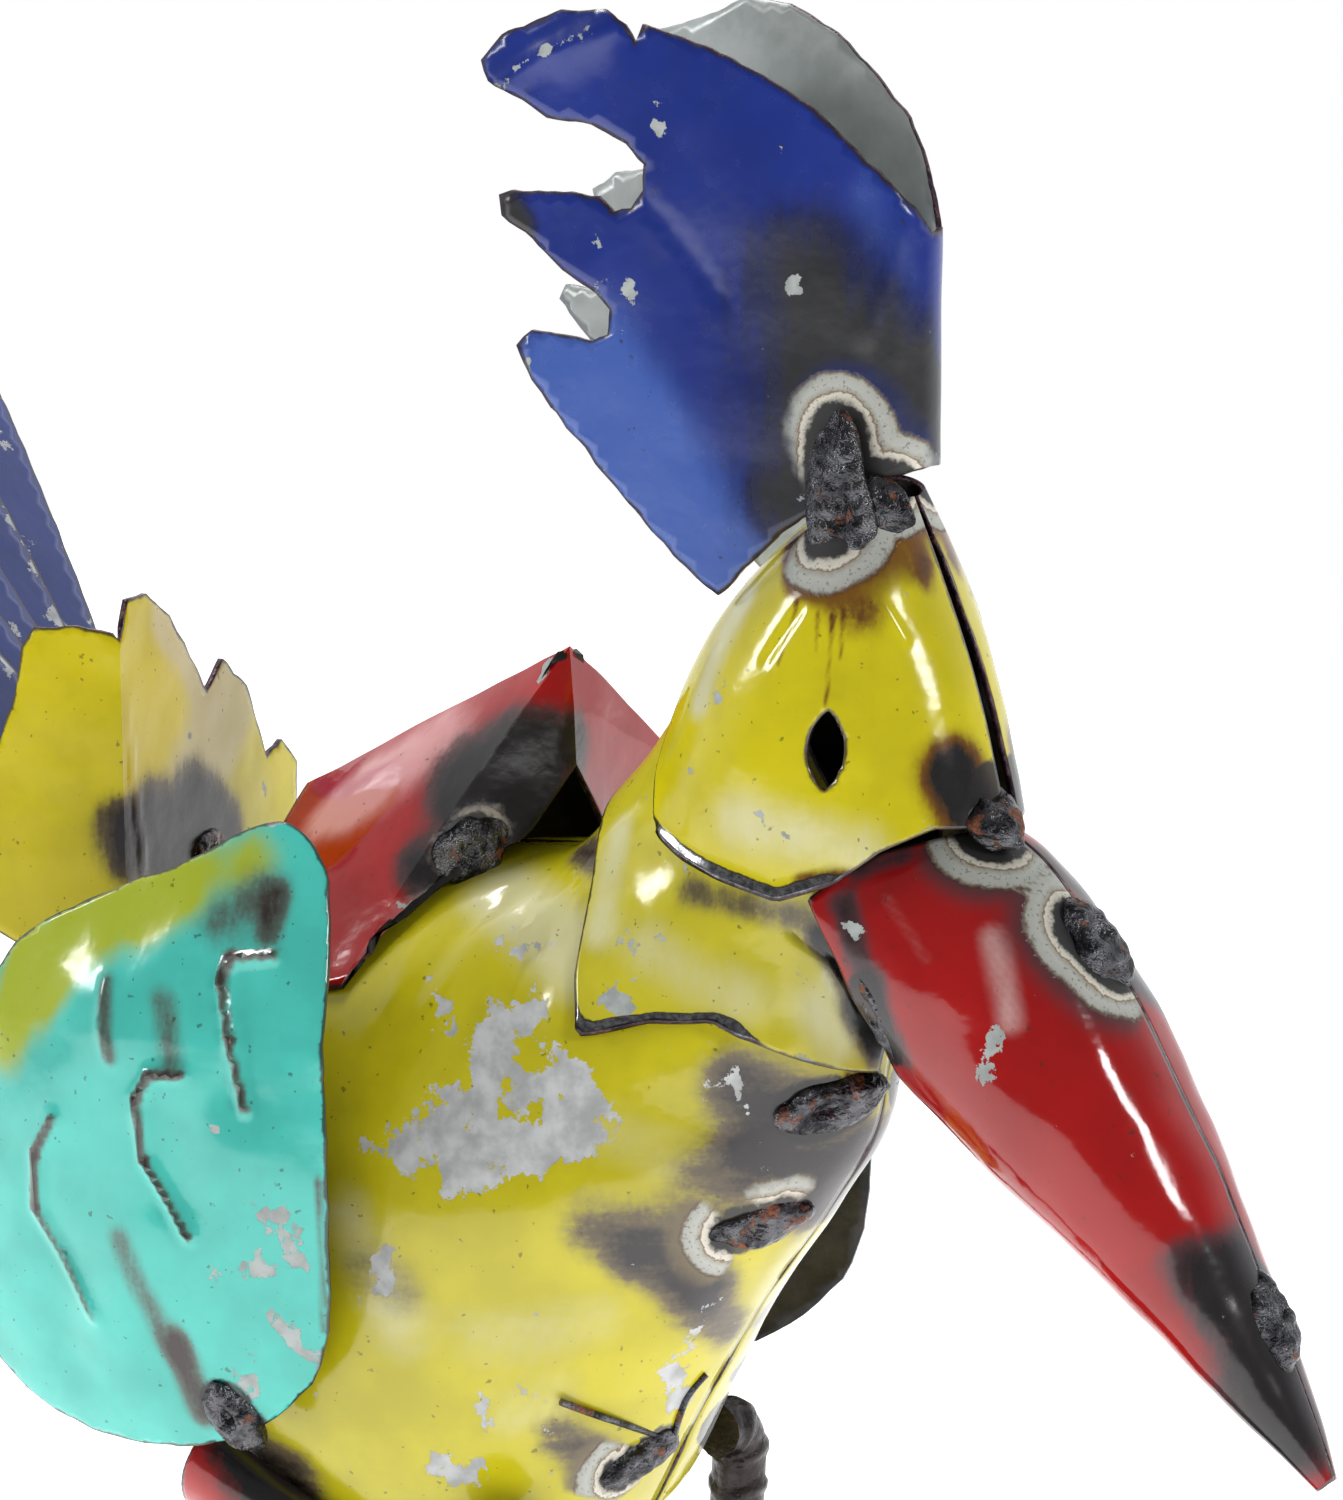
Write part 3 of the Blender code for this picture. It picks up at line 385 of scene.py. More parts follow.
def enamel(name, colour, second, burnt=(0.012, 0.011, 0.012), scorched=None, gloss=0.13,
           bare=(0.50, 0.54, 0.52), flecks=0.66, chip_scale=120.0, streaks=(1.0, 1.0, 0.22), specular=0.5):
    """Gloss enamel over zinc: soot, ash rings, chips, lips and burnt rim follow the sheet's marks."""
    paint, tree, shader = fresh_paint(name)
    grain, maths, step, mixed = shading_tools(tree)
    shader.inputs["IOR"].default_value = 1.6
    shader.inputs["Specular IOR Level"].default_value = specular

    def ramp(value, stops):
        made = add(tree, "ValToRGB", {0: value})
        band = made.color_ramp
        while len(band.elements) < len(stops):
            band.elements.new(0.5)
        for element, (at, tone) in zip(band.elements, stops):
            element.position = at
            element.color = (*tone, 1.0)
        return made.outputs[0]

    def mark(key):
        return add(tree, "Attribute", attribute_name=key).outputs["Fac"]

    broad, middle, fine = grain(45.0), grain(210.0, 5.0), grain(900.0, 3.0, 0.6)
    weld, edge = mark("weld"), mark("edge")

    def loosened(value, *shares):
        for size, share in shares:
            value = maths("ADD", value, maths("MULTIPLY", maths("SUBTRACT", size, 0.5), share))
        return value

    # paint, a little uneven, and its second, paler tone, which is painted reflection where the sheet's
    # reflection marks lie
    deep = tuple(v * 0.82 for v in colour)
    tone = mixed(step(broad, 0.35, 0.68), colour, deep)
    tone = mixed(step(maths("MULTIPLY", mark("pale_reflection"), maths("ADD", grain(150.0, 5.0, 0.6, streaks), 0.5)),
                      0.15, 0.85), tone, second)
    # soot: paint browns, then turns black, in streaks
    streaky = maths("ADD", maths("MULTIPLY", grain(260.0, 4.0, 0.6, streaks), 1.3), 0.02)
    streaky = loosened(streaky, (broad, 0.9), (fine, 0.5))
    sooty = maths("MULTIPLY", mark("soot"), maths("ADD", streaky, 0.35))
    browned = scorched or tuple(v * 0.30 + 0.012 for v in colour)
    tone = mixed(step(sooty, 0.06, 0.50), tone, browned)
    black = step(sooty, 0.28, 0.92)
    tone = mixed(black, tone, burnt)
    # small pits of dirt
    pits = step(grain(520.0, 2.0, 0.5), 0.70, 0.74)
    tone = mixed(maths("MULTIPLY", pits, 0.55), tone, DIRT)
    # chips down to the zinc
    speck = grain(chip_scale, 7.0, 0.68)
    speck = maths("ADD", speck, maths("MULTIPLY", step(mark("chip"), 0.0, 1.0), 0.24))
    speck = maths("ADD", speck, step(edge, 0.0, 2.2, 0.075, 0.0))
    chipped = step(speck, flecks, flecks + 0.012)
    zinc = mixed(step(middle, 0.3, 0.7), bare, tuple(v * 0.62 for v in bare))
    tone = mixed(chipped, tone, zinc)
    # burnt line along the cut edge, and a lip's bare metal inside a second line
    wavy = loosened(edge, (middle, 1.6))
    rim = step(wavy, 0.25, 0.9, 1.0, 0.0)
    lip = step(mark("lip"), 0.08, 0.25)
    past_lip = maths("SUBTRACT", wavy, step(mark("lip"), 0.05, 1.05, 0.2, LIP_WIDTH))
    inside = maths("MULTIPLY", lip, step(past_lip, 0.0, 0.25, 1.0, 0.0))
    line = maths("MULTIPLY", lip, step(past_lip, 0.30, 0.70, 1.0, 0.0))
    tone = mixed(line, tone, DIRT)
    tone = mixed(inside, tone, mixed(step(fine, 0.35, 0.65), (0.34, 0.34, 0.35), (0.12, 0.12, 0.13)))
    tone = mixed(maths("MULTIPLY", rim, 0.9), tone, (0.035, 0.022, 0.024))
    tree.links.new(maths("MULTIPLY", inside, 0.85), shader.inputs["Metallic"])
    # ash rings round a weld: cream, a brown line, grey, then paint singed brown
    ring = loosened(weld, (middle, 1.6), (broad, 4.0), (fine, 1.3))
    bands = ramp(maths("DIVIDE", ring, ASH_WIDTH), ASH_RINGS)
    ash_share = step(loosened(mark("ash"), (broad, 0.25), (middle, 0.3)), 0.30, 0.55)
    singed = maths("MULTIPLY", ash_share, step(ring, 6.2, 12.0, 1.0, 0.0))
    tone = mixed(singed, tone, browned)
    ashy = maths("MULTIPLY", ash_share, step(ring, 6.3, 7.0, 1.0, 0.0))
    tone = mixed(ashy, tone, bands)
    grit = step(grain(1400.0, 2.0, 0.5), 0.60, 0.66)
    tone = mixed(maths("MULTIPLY", maths("MULTIPLY", grit, ashy), 0.5), tone, (0.06, 0.05, 0.04))
    charred = step(ring, 0.8, 1.8, 1.0, 0.0)
    tone = mixed(maths("MULTIPLY", charred, 0.95), tone, (0.02, 0.018, 0.018))
    tree.links.new(tone, shader.inputs["Base Color"])
    # gloss, and the small unevenness of the film
    matt = maths("MAXIMUM", maths("MULTIPLY", chipped, 0.9), ashy)
    rough = step(matt, 0.0, 1.0, gloss, 0.55)
    rough = maths("ADD", rough, maths("MULTIPLY", step(middle, 0.4, 0.8), 0.06))
    rough = maths("ADD", rough, maths("MULTIPLY", black, 0.05))
    tree.links.new(rough, shader.inputs["Roughness"])
    height = maths("MULTIPLY", matt, -0.6)
    height = maths("ADD", height, maths("MULTIPLY", grain(70.0, 3.0), 0.9))
    height = maths("ADD", height, maths("MULTIPLY", fine, 0.05))
    bump = add(tree, "Bump", {"Height": height, "Strength": 0.5, "Distance": 0.0006}).outputs[0]
    tree.links.new(bump, shader.inputs["Normal"])
    return paint


def mottled_metal(name, light, dark, rust=None, rust_share=0.5, rough=(0.3, 0.5), metallic=1.0, scale=160.0,
                  bumps=0.0006):
    """Bare metal in two tones, with rust or heat colour in patches."""
    metal, tree, shader = fresh_paint(name)
    grain, maths, step, mixed = shading_tools(tree)
    patches, fine = grain(scale, 5.0, 0.6), grain(scale * 5, 3.0, 0.5)
    tone = mixed(step(patches, 0.35, 0.65), light, dark)
    roughness = step(fine, 0.3, 0.7, *rough)
    if rust:
        rusty = step(grain(scale * 0.7, 6.0, 0.7), rust_share, rust_share + 0.06)
        tone = mixed(rusty, tone, mixed(step(fine, 0.35, 0.65), rust, tuple(v * 0.4 for v in rust)))
        keep = add(tree, "MapRange", {"Value": rusty, "To Min": metallic, "To Max": 0.0}).outputs[0]
        tree.links.new(keep, shader.inputs["Metallic"])
        roughness = maths("ADD", roughness, maths("MULTIPLY", rusty, 0.35))
    else:
        shader.inputs["Metallic"].default_value = metallic
    tree.links.new(tone, shader.inputs["Base Color"])
    tree.links.new(roughness, shader.inputs["Roughness"])
    bump = add(tree, "Bump", {"Height": fine, "Strength": 0.6, "Distance": bumps}).outputs[0]
    tree.links.new(bump, shader.inputs["Normal"])
    return metal


burnt_back = mottled_metal("burnt_back_of_sheet", (0.05, 0.045, 0.04), (0.012, 0.011, 0.010),
                           rust=(0.20, 0.07, 0.025), rust_share=0.62, metallic=0.3, rough=(0.4, 0.6),
                           scale=60.0)
cut_rim = mottled_metal("torch_cut_rim", (0.16, 0.09, 0.11), (0.03, 0.02, 0.03), rust=(0.22, 0.10, 0.05),
                        rust_share=0.58, rough=(0.25, 0.5), scale=300.0)
weld_steel = mottled_metal("weld_bead_steel", (0.13, 0.13, 0.14), (0.018, 0.018, 0.022),
                           rust=(0.24, 0.065, 0.018), rust_share=0.56, rough=(0.05, 0.28), metallic=0.85,
                           scale=200.0, bumps=0.0011)

TRUNK = BentForm([
    ((-0.94, 2.86), (-0.99, 3.01), 0.06, 0.60),
    ((-0.70, 2.48), (-0.70, 3.21), 0.30, 0.60),
    ((-0.45, 2.17), (-0.42, 3.36), 0.47, 0.58),
    ((-0.15, 1.95), (-0.14, 3.46), 0.54, 0.55),
    ((0.14, 1.91), (0.08, 3.50), 0.55, 0.52),
    ((0.38, 2.01), (0.24, 3.53), 0.53, 0.50),
    ((0.545, 2.18), (0.34, 3.54), 0.495, 0.50),
    ((0.665, 2.41), (0.405, 3.55), 0.445, 0.51),
    ((0.80, 2.645), (0.445, 3.58), 0.385, 0.56),
    ((0.95, 2.86), (0.495, 3.645), 0.315, 0.64),
    ((1.06, 3.04), (0.575, 3.735), 0.255, 0.66),
    ((1.10, 3.22), (0.680, 3.880), 0.215, 0.60),
    ((1.15, 3.40), (0.790, 3.995), 0.195, 0.58),
    ((1.15, 3.60), (0.890, 4.080), 0.165, 0.58),
])
TRUNK_TOP = 11.3
trunk_enamel = enamel("yellow_enamel_trunk", (0.66, 0.58, 0.012), (0.72, 0.68, 0.34), bare=(0.64, 0.65, 0.65),
                      burnt=(0.028, 0.022, 0.024), scorched=(0.17, 0.13, 0.07), streaks=(0.25, 0.25, 1.0))
TRUNK_WELDS = [
    (805, 1112, 862, 1092, 5.0, 1), (735, 1230, 785, 1218, 4.6, 1), (625, 1468, 655, 1448, 4.8, 1),
]
TRUNK_SOOT = [
    (735, 1085, 800, 1108, 6, 0.85), (760, 1150, 860, 1150, 7, 0.95), (590, 1225, 690, 1240, 5.5, 0.5),
    (640, 1255, 710, 1285, 5.5, 0.65), (690, 1300, 730, 1330, 5, 0.55), (820, 1190, 840, 1230, 6, 0.8),
    (700, 1180, 760, 1190, 7, 0.4), (230, 1440, 290, 1480, 7, 0.9), (585, 850, 640, 880, 4, 0.7),
    (560, 1440, 600, 1462, 5, 0.6), (360, 1270, 400, 1290, 6, 0.3),
]
TRUNK_ASH = [
    (690, 1230, 700, 1260, 6, 1.0), (760, 1190, 800, 1185, 4, 0.6), (590, 1470, 620, 1475, 6, 1.1),
]
TRUNK_CHIPS = [
    (400, 1145, 470, 1165, 7, 0.95), (470, 1135, 560, 1150, 6, 0.9), (565, 1065, 585, 1115, 5.5, 0.9),
    (470, 1060, 520, 1010, 5, 0.75), (480, 1110, 540, 1100, 6, 0.6), (690, 1335, 700, 1345, 3, 0.8),
    (670, 1370, 680, 1400, 3.5, 0.85), (380, 1255, 392, 1290, 3, 0.7), (450, 1465, 475, 1475, 5, 0.85),
    (480, 930, 530, 960, 4, 0.35), (480, 1415, 485, 1425, 2.5, 0.8),
    (440, 1000, 450, 1030, 3, 0.6), (425, 970, 430, 980, 2, 0.7), (735, 1075, 745, 1110, 1.6, 0.7),
]
# painted reflection: pale patches where the trunk's gloss shows its white surroundings
TRUNK_PALE_REFLECTIONS = [
    (500, 890, 580, 960, 8, 1.0), (350, 1220, 400, 1330, 7, 0.6), (600, 1130, 690, 1160, 8, 0.4),
    (480, 1340, 600, 1320, 7, 0.45), (760, 1300, 850, 1180, 5, 0.5), (510, 1420, 560, 1405, 6, 0.5),
]
TRUNK_DENTS = [
    (530, 960, 520, 1050, 6, -1.6), (560, 990, 560, 1060, 4, 0.9), (400, 1120, 500, 1100, 7, -1.3),
    (450, 1000, 500, 930, 5, 1.0), (640, 1120, 720, 1120, 9, -1.2), (560, 1240, 640, 1230, 10, 1.0),
    (480, 1340, 520, 1430, 12, -1.3), (360, 1080, 380, 1160, 8, 0.8), (690, 1300, 760, 1180, 6, 0.8),
    (490, 1000, 500, 1070, 3, 0.8), (620, 1180, 760, 1150, 6, 0.7),
]
TRUNK_CREASES = [
    ([(563, 932), (527, 950), (512, 980)], 1.1, -0.9), ([(640, 875), (560, 900), (490, 960)], 1.5, 0.8),
    ([(500, 900), (440, 960), (380, 1060)], 1.6, -0.6), ([(600, 870), (520, 890), (450, 930)], 1.4, -0.7),
    ([(420, 940), (390, 1000)], 1.2, 0.5), ([(430, 1380), (560, 1340), (640, 1290)], 3.0, 0.7),
]
right_aim = None
for side, c_range in ((-1, (-1.0, 0.0)), (1, (0.0, 1.0))):
    spots, faces = form_grid(TRUNK, lambda c: 0.0, lambda c: TRUNK_TOP, rows=100, columns=46,
                             c_range=c_range, part_side=side)
    name = "right" if side < 0 else "left"
    _, tree = steel_sheet(
        "trunk_sheet_" + name, spots, faces, (trunk_enamel, burnt_back, cut_rim),
        ["body_" + name], TRUNK_WELDS, TRUNK_SOOT, TRUNK_ASH, TRUNK_CHIPS, TRUNK_PALE_REFLECTIONS, TRUNK_DENTS,
        TRUNK_CREASES, wave=0.55, mirror=side > 0, aim=right_aim)
    right_aim = right_aim or tree

RIPPLE_PITCH = 0.0036
RIPPLE_DEPTH = 0.035        # in bead radii, as are the crater's depth and reach
CRATER_DEPTH = 0.60
CRATER_REACH = 0.32


def weld_bead(name, tree, mark, height=0.62):
    """A lump of melted wire along a mark on a sheet: rippled, pitted and a little flattened."""
    start, end = mark_ends(tree, mark)
    radius = mark[-2]
    middle = (start + end) / 2
    normal = tree.find_nearest(middle)[1]
    if normal.dot(camera.location - middle) < 0:
        normal = -normal
    run = end - start
    half = run.length / 2 + radius * MM
    along = (run - normal * run.dot(normal)).normalized()
    across = normal.cross(along)
    shift = Vector((mark[0] * 0.13, mark[1] * 0.17, radius))
    body = bmesh.new()
    bmesh.ops.create_icosphere(body, subdivisions=6, radius=1.0)
    for vertex in body.verts:
        way = vertex.co.copy()
        lumps = 1.04 + 0.26 * noise.noise(way * 1.2 + shift) + 0.05 * noise.noise(way * 3.2 + shift)
        lumps += 0.010 * noise.noise(way * 12.0 + shift)
        place = Vector((way.x * half, way.y * radius * MM, way.z * radius * MM * height)) * lumps
        bow = place.x + 0.30 * place.y * place.y / (radius * MM)
        place.z += RIPPLE_DEPTH * radius * MM * sin(2 * pi * bow / RIPPLE_PITCH) * max(way.z, 0.0)
        pit = hypot(place.x / half + 0.20, place.y / (radius * MM) - 0.05)
        place.z -= CRATER_DEPTH * radius * MM * height * exp(-(pit / CRATER_REACH) ** 2) * max(way.z, 0.0)
        vertex.co = middle + along * place.x + across * place.y + normal * place.z
    mesh = bpy.data.meshes.new(name)
    body.to_mesh(mesh)
    body.free()
    mesh.materials.append(weld_steel)
    mesh.shade_smooth()
    bead = put_in_scene(name, mesh)
    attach(bead, "root")


for k, mark in enumerate(TRUNK_WELDS):
    weld_bead("keel_weld_%d" % (k + 1), right_aim, mark)


def stub_of_wire(name, tree, places, radius):
    """A stub of welding wire left lying on a sheet, past places in the picture."""
    stub_data = bpy.data.curves.new(name, "CURVE")
    stub_data.dimensions = "3D"
    stub_data.bevel_depth = radius * MM
    stub_data.bevel_resolution = 4
    stub_data.use_fill_caps = True
    line = stub_data.splines.new("NURBS")
    line.points.add(len(places) - 1)
    line.order_u = 3
    line.use_endpoint_u = True
    for point, (x, y) in zip(line.points, places):
        spot = on_sheet(tree, x, y)
        point.co = (*(spot - sight(x, y) * 0.9 * radius * MM), 1.0)
    stub_data.materials.append(weld_steel)
    stub = put_in_scene(name, stub_data)
    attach(stub, "root")


stub_of_wire("keel_wire_long", right_aim, [(561, 1402), (590, 1413), (630, 1426), (672, 1440)], radius=0.75)
stub_of_wire("keel_wire_short", right_aim, [(706, 1374), (690, 1390), (680, 1412), (673, 1438)], radius=0.8)

# The neck: a collar of yellow enamelled sheet, folded round the nape and lapped over the trunk. Its
# lower edge comes to a point on each side, where it is turned up and bare.
NECK_LIFT = 0.0018
NECK_TOP = 12.9
NECK_HEM = [
    (0.0, 10.8), (0.17, 10.4), (0.40, 9.87), (0.51, 9.2), (0.61, 8.3), (0.71, 8.4), (0.85, 8.85),
    (1.0, 9.05),
]


def hem(edge, c):
    """Station of a sheet's lower edge, on straight lines between (share of the way back, station)."""
    back = 0.5 * (1.0 + cos(pi * c))
    for (x0, t0), (x1, t1) in zip(edge, edge[1:]):
        if back <= x1:
            return t0 + (t1 - t0) * (back - x0) / (x1 - x0)
    return edge[-1][1]


spots, faces = form_grid(TRUNK, lambda c: hem(NECK_HEM, c), lambda c: NECK_TOP, rows=50, columns=150,
                         c_range=(-0.93, 0.93), lift=NECK_LIFT)
neck_enamel = enamel("yellow_enamel_neck", (0.68, 0.60, 0.03), (0.72, 0.69, 0.36), flecks=0.68,
                     scorched=(0.20, 0.16, 0.07))
steel_sheet(
    "neck_sheet", spots, faces, (neck_enamel, burnt_back, cut_rim), ["neck"],
    # The first soot mark is partly painted shade under the cheek's lifted edge and partly soot; the last one
    # is painted shadow under the cheek and beak.
    soot=[(690, 890, 800, 918, 3.2, 0.5), (850, 960, 885, 1040, 4, 0.8), (860, 1010, 880, 1050, 3, 0.7),
          (818, 938, 848, 962, 2.4, 1.1)],
    chips=[(625, 930, 660, 945, 4, 0.7), (612, 985, 620, 995, 2, 0.7), (600, 1002, 630, 1010, 1.5, 0.8)],
    # painted reflection: pale patches on the nape and a pale strip at the throat
    pale_reflection=[(620, 830, 600, 930, 4, 0.7), (650, 950, 740, 1000, 7, 0.55), (820, 1010, 850, 1040, 6, 0.6),
          (836, 975, 862, 1010, 1.8, 1.5)],
    dents=[(640, 960, 650, 1010, 7, 0.8), (730, 960, 790, 1000, 8, -0.8)],
    creases=[([(790, 932), (838, 964), (866, 1006)], 0.9, -0.9)],
    lips=[(590, 1038, 730, 1030, 4, 1.1)], both_sides=True, wave=0.45)

# The head: one yellow sheet folded round the nape, with its seam down the forehead. A pointed eye
# hole is cut through each cheek, and the cheeks' lower edges are left lifted off the neck. It is
# tacked to the crest at the top and to the beak at the forehead.
HEAD = BentForm([
    ((1.400, 3.430), (0.548, 3.655), 0.275, 0.45),
    ((1.355, 3.680), (0.652, 3.875), 0.270, 0.45),
    ((1.310, 3.870), (0.757, 4.055), 0.245, 0.47),
    ((1.245, 4.060), (0.905, 4.215), 0.190, 0.50),
    ((1.140, 4.290), (1.060, 4.325), 0.075, 0.55),
])
EYE_X, EYE_Z = 0.1092, 0.3840
EYE_LENGTH, EYE_WIDTH = 0.0150, 0.0070
EYE_REACH = 0.0025          # points nearer the eye's line than this are moved on to it
NUDGE = 1e-5
HEAD_HEM = [
    (0.0, 1.05), (0.11, 0.98), (0.23, 0.70), (0.33, 0.37), (0.47, 0.06), (0.61, 0.03), (0.72, 0.03),
    (0.80, 0.08), (0.85, 0.17), (0.90, 0.45), (0.95, 1.10), (1.0, 1.40),
]


def almond(x, z):
    """Above 0 outside the eye, below 0 inside: two arcs that meet in points above and below."""
    half, side = EYE_LENGTH / 2, EYE_WIDTH / 2
    radius = (half * half + side * side) / (2 * side)
    return hypot(abs(x - EYE_X) + radius - side, z - EYE_Z) - radius


spots, faces = form_grid(HEAD, lambda c: hem(HEAD_HEM, c), lambda c: HEAD.last, rows=84, columns=200,
                         c_range=(-0.97, 0.97))
faces = [f for f in faces if almond(sum(spots[i].x for i in f) / 4, sum(spots[i].z for i in f) / 4) > 0]
used = {}
for f in faces:
    for i, j in zip(f, f[1:] + f[:1]):
        used[(i, j)] = 1
for i, j in list(used):
    if (j, i) not in used:
        for k in (i, j):
            gap = almond(spots[k].x, spots[k].z)
            if abs(gap) < EYE_REACH:
                slope_x = almond(spots[k].x + NUDGE, spots[k].z) - gap
                slope_z = almond(spots[k].x, spots[k].z + NUDGE) - gap
                size = slope_x ** 2 + slope_z ** 2
                spots[k].x -= gap * slope_x * NUDGE / size
                spots[k].z -= gap * slope_z * NUDGE / size
head_enamel = enamel("yellow_enamel_head", (0.72, 0.62, 0.008), (0.75, 0.72, 0.42), flecks=0.69,
                     scorched=(0.19, 0.075, 0.008))
CREST_WELD = (101.8, -8.6, 440.0, 103.2, -10.0, 420.5, 6.0, 1)
CREST_WELD_SIDE = (106.0, -8.0, 432.0, 112.0, -6.0, 431.5, 4.3, 1)
FOREHEAD_WELD = (130.5, -3.5, 374.5, 134.0, -6.0, 367.5, 5.6, 1)
HEAD_WELDS = [CREST_WELD, CREST_WELD_SIDE, FOREHEAD_WELD]
steel_sheet(
    "head_sheet", spots, faces, (head_enamel, burnt_back, cut_rim), ["head"], HEAD_WELDS,
    soot=[(955, 775, 975, 820, 5.5, 1.25), (795, 540, 800, 580, 3.0, 0.7), (840, 600, 860, 612, 4.5, 0.5),
          (900, 560, 925, 580, 3.0, 0.35), (905, 520, 925, 560, 2.5, 0.4), (833, 615, 826, 705, 0.45, 0.40),
          (798, 600, 778, 665, 0.45, 0.40), (843, 610, 840, 660, 0.4, 0.35), (818, 612, 816, 650, 0.4, 0.3),
          (940, 830, 985, 838, 3, 0.7), (800, 880, 850, 878, 1.5, 0.5)],
    ash=[(830, 560, 915, 545, 9, 1.2)],
    chips=[(715, 690, 740, 680, 3.5, 0.7), (757, 815, 762, 822, 1.2, 1.0), (775, 825, 800, 845, 2, 0.7),
           (905, 590, 925, 610, 3, 0.6), (690, 770, 695, 775, 1.2, 0.8), (812, 805, 830, 815, 1.5, 0.6)],
    # painted reflection: pale patches on the nape's left side and the lower cheek
    pale_reflection=[(745, 600, 700, 700, 4, 0.8), (740, 820, 860, 850, 7, 0.6)],
    creases=[([(845, 600), (835, 690)], 1.2, -0.5), ([(800, 610), (765, 660)], 1.2, -0.4),
             ([(880, 600), (905, 640)], 1.0, 0.4), ([(870, 620), (872, 720)], 1.0, -0.3)],
    dents=[(700, 790, 730, 760, 8, 0.7), (900, 700, 880, 780, 8, -0.5)],
    lips=[(666, 842, 715, 872, 4, 1.0), (715, 872, 815, 890, 5, 1.2)], both_sides=True, wave=0.35)

# The beak: a red enamelled sheet rolled into a long cone, with its seam along the top. Four beads
# hold it: at the forehead, on the seam, near the tip and by the neck. Their heat left ash rings
# and burnt the tip.
BEAK = BentForm([
    ((1.150, 3.730), (1.150, 3.225), 0.215, 0.38),
    ((1.395, 3.630), (1.265, 3.125), 0.225, 0.40),
    ((1.610, 3.375), (1.430, 2.995), 0.215, 0.42),
    ((1.765, 3.105), (1.645, 2.825), 0.165, 0.45),
    ((1.890, 2.845), (1.825, 2.675), 0.105, 0.46),
    ((1.980, 2.650), (1.950, 2.575), 0.055, 0.48),
    ((2.030, 2.525), (2.018, 2.510), 0.015, 0.50),
])
BEAK_HEM = [
    (0.0, 0.7), (0.18, 0.05), (0.33, -0.27), (0.54, -0.62), (0.65, -0.28), (0.74, -0.1), (0.82, 0.3),
    (1.0, 0.6),
]
spots, faces = form_grid(BEAK, lambda c: hem(BEAK_HEM, c), lambda c: BEAK.last, rows=100, columns=110)
faces = [f[::-1] for f in faces]
beak_enamel = enamel("red_enamel_beak", (0.42, 0.006, 0.006), (0.62, 0.36, 0.34), flecks=0.70, gloss=0.10,
                     burnt=(0.020, 0.016, 0.018), scorched=(0.10, 0.035, 0.04))
BEAK_WELDS = [
    FOREHEAD_WELD, (1078, 930, 1108, 966, 5.6, 1), (1262, 1300, 1280, 1345, 5.2, 1),
    (868, 990, 892, 1045, 2.6, 1),
]
_, beak_tree = steel_sheet(
    "beak_sheet", spots, faces, (beak_enamel, burnt_back, cut_rim), ["beak"], BEAK_WELDS,
    soot=[(1232, 1275, 1290, 1440, 6.5, 1.3), (1180, 1260, 1210, 1300, 4, 0.5),
          (1135, 985, 1175, 1015, 4, 0.8),
          (845, 905, 870, 980, 3.0, 0.6), (880, 985, 905, 1055, 2.8, 0.55), (860, 870, 905, 858, 2.5, 0.5),
          (1040, 860, 1075, 890, 4, 0.7), (1020, 890, 1060, 930, 3, 0.5), (1110, 900, 1150, 950, 4, 0.6)],
    ash=[(960, 880, 1010, 890, 9, 1.2), (1050, 950, 1090, 1000, 9, 1.2)],
    chips=[(1000, 1030, 985, 1080, 2.5, 0.85), (955, 850, 945, 885, 2, 0.75), (915, 870, 925, 880, 2, 0.6),
           (850, 925, 858, 932, 1.5, 1.1), (1020, 960, 1030, 1000, 2.5, 0.6), (870, 935, 900, 1000, 3, 0.3)],
    # painted highlight: a pale pink streak on the beak's near side, and a faint pale patch
    pale_reflection=[(995, 940, 1010, 1020, 3, 0.7), (890, 900, 930, 960, 2, 0.3)], wave=0.7, outward=True)
for k, mark in enumerate(BEAK_WELDS):
    weld_bead("beak_weld_%d" % (k + 1), beak_tree, mark, height=0.8)

# The crest: one blue sheet folded at the front, its two leaves torch-cut into fingers and the back
# of the sheet left as bare zinc. Its heel is welded to the top of the head with a heavy bead.
CREST_FOLD = 1.180
CREST_RADIUS = 0.0085
CREST_FLARE = radians(5.0)
CREST_RIGHT = [
    (1.178, 4.785), (1.162, 4.835), (1.125, 4.875), (1.075, 4.915), (0.984, 4.998), (0.862, 5.068),
    (0.738, 5.120), (0.613, 5.155), (0.598, 5.120), (0.581, 5.155), (0.539, 5.181), (0.444, 5.179),
    (0.315, 5.130), (0.271, 5.082), (0.286, 5.044), (0.357, 5.008), (0.411, 4.976), (0.507, 4.965),
    (0.581, 4.930), (0.617, 4.894), (0.617, 4.847), (0.591, 4.812), (0.553, 4.803), (0.521, 4.831),
    (0.442, 4.837), (0.335, 4.837), (0.306, 4.827), (0.312, 4.789), (0.377, 4.744), (0.442, 4.689),
    (0.516, 4.645), (0.544, 4.618), (0.538, 4.570), (0.505, 4.555), (0.441, 4.565), (0.376, 4.571),
    (0.343, 4.541), (0.376, 4.475), (0.440, 4.402), (0.526, 4.311), (0.633, 4.202), (0.718, 4.121),
    (0.775, 4.085),
]
CREST_LEFT = [
    (1.160, 4.788), (1.125, 4.880), (1.075, 4.985), (1.000, 5.062), (0.905, 5.140), (0.800, 5.190),
    (0.700, 5.200), (0.600, 5.160), (0.480, 5.130), (0.380, 5.090), (0.400, 5.030), (0.480, 4.990),
    (0.560, 4.950), (0.560, 4.880), (0.480, 4.865), (0.386, 4.854), (0.329, 4.816), (0.350, 4.760),
    (0.420, 4.690), (0.400, 4.640), (0.331, 4.620), (0.262, 4.630), (0.245, 4.600), (0.285, 4.560),
    (0.360, 4.480), (0.440, 4.402), (0.540, 4.311), (0.640, 4.210), (0.718, 4.121), (0.775, 4.085),
]
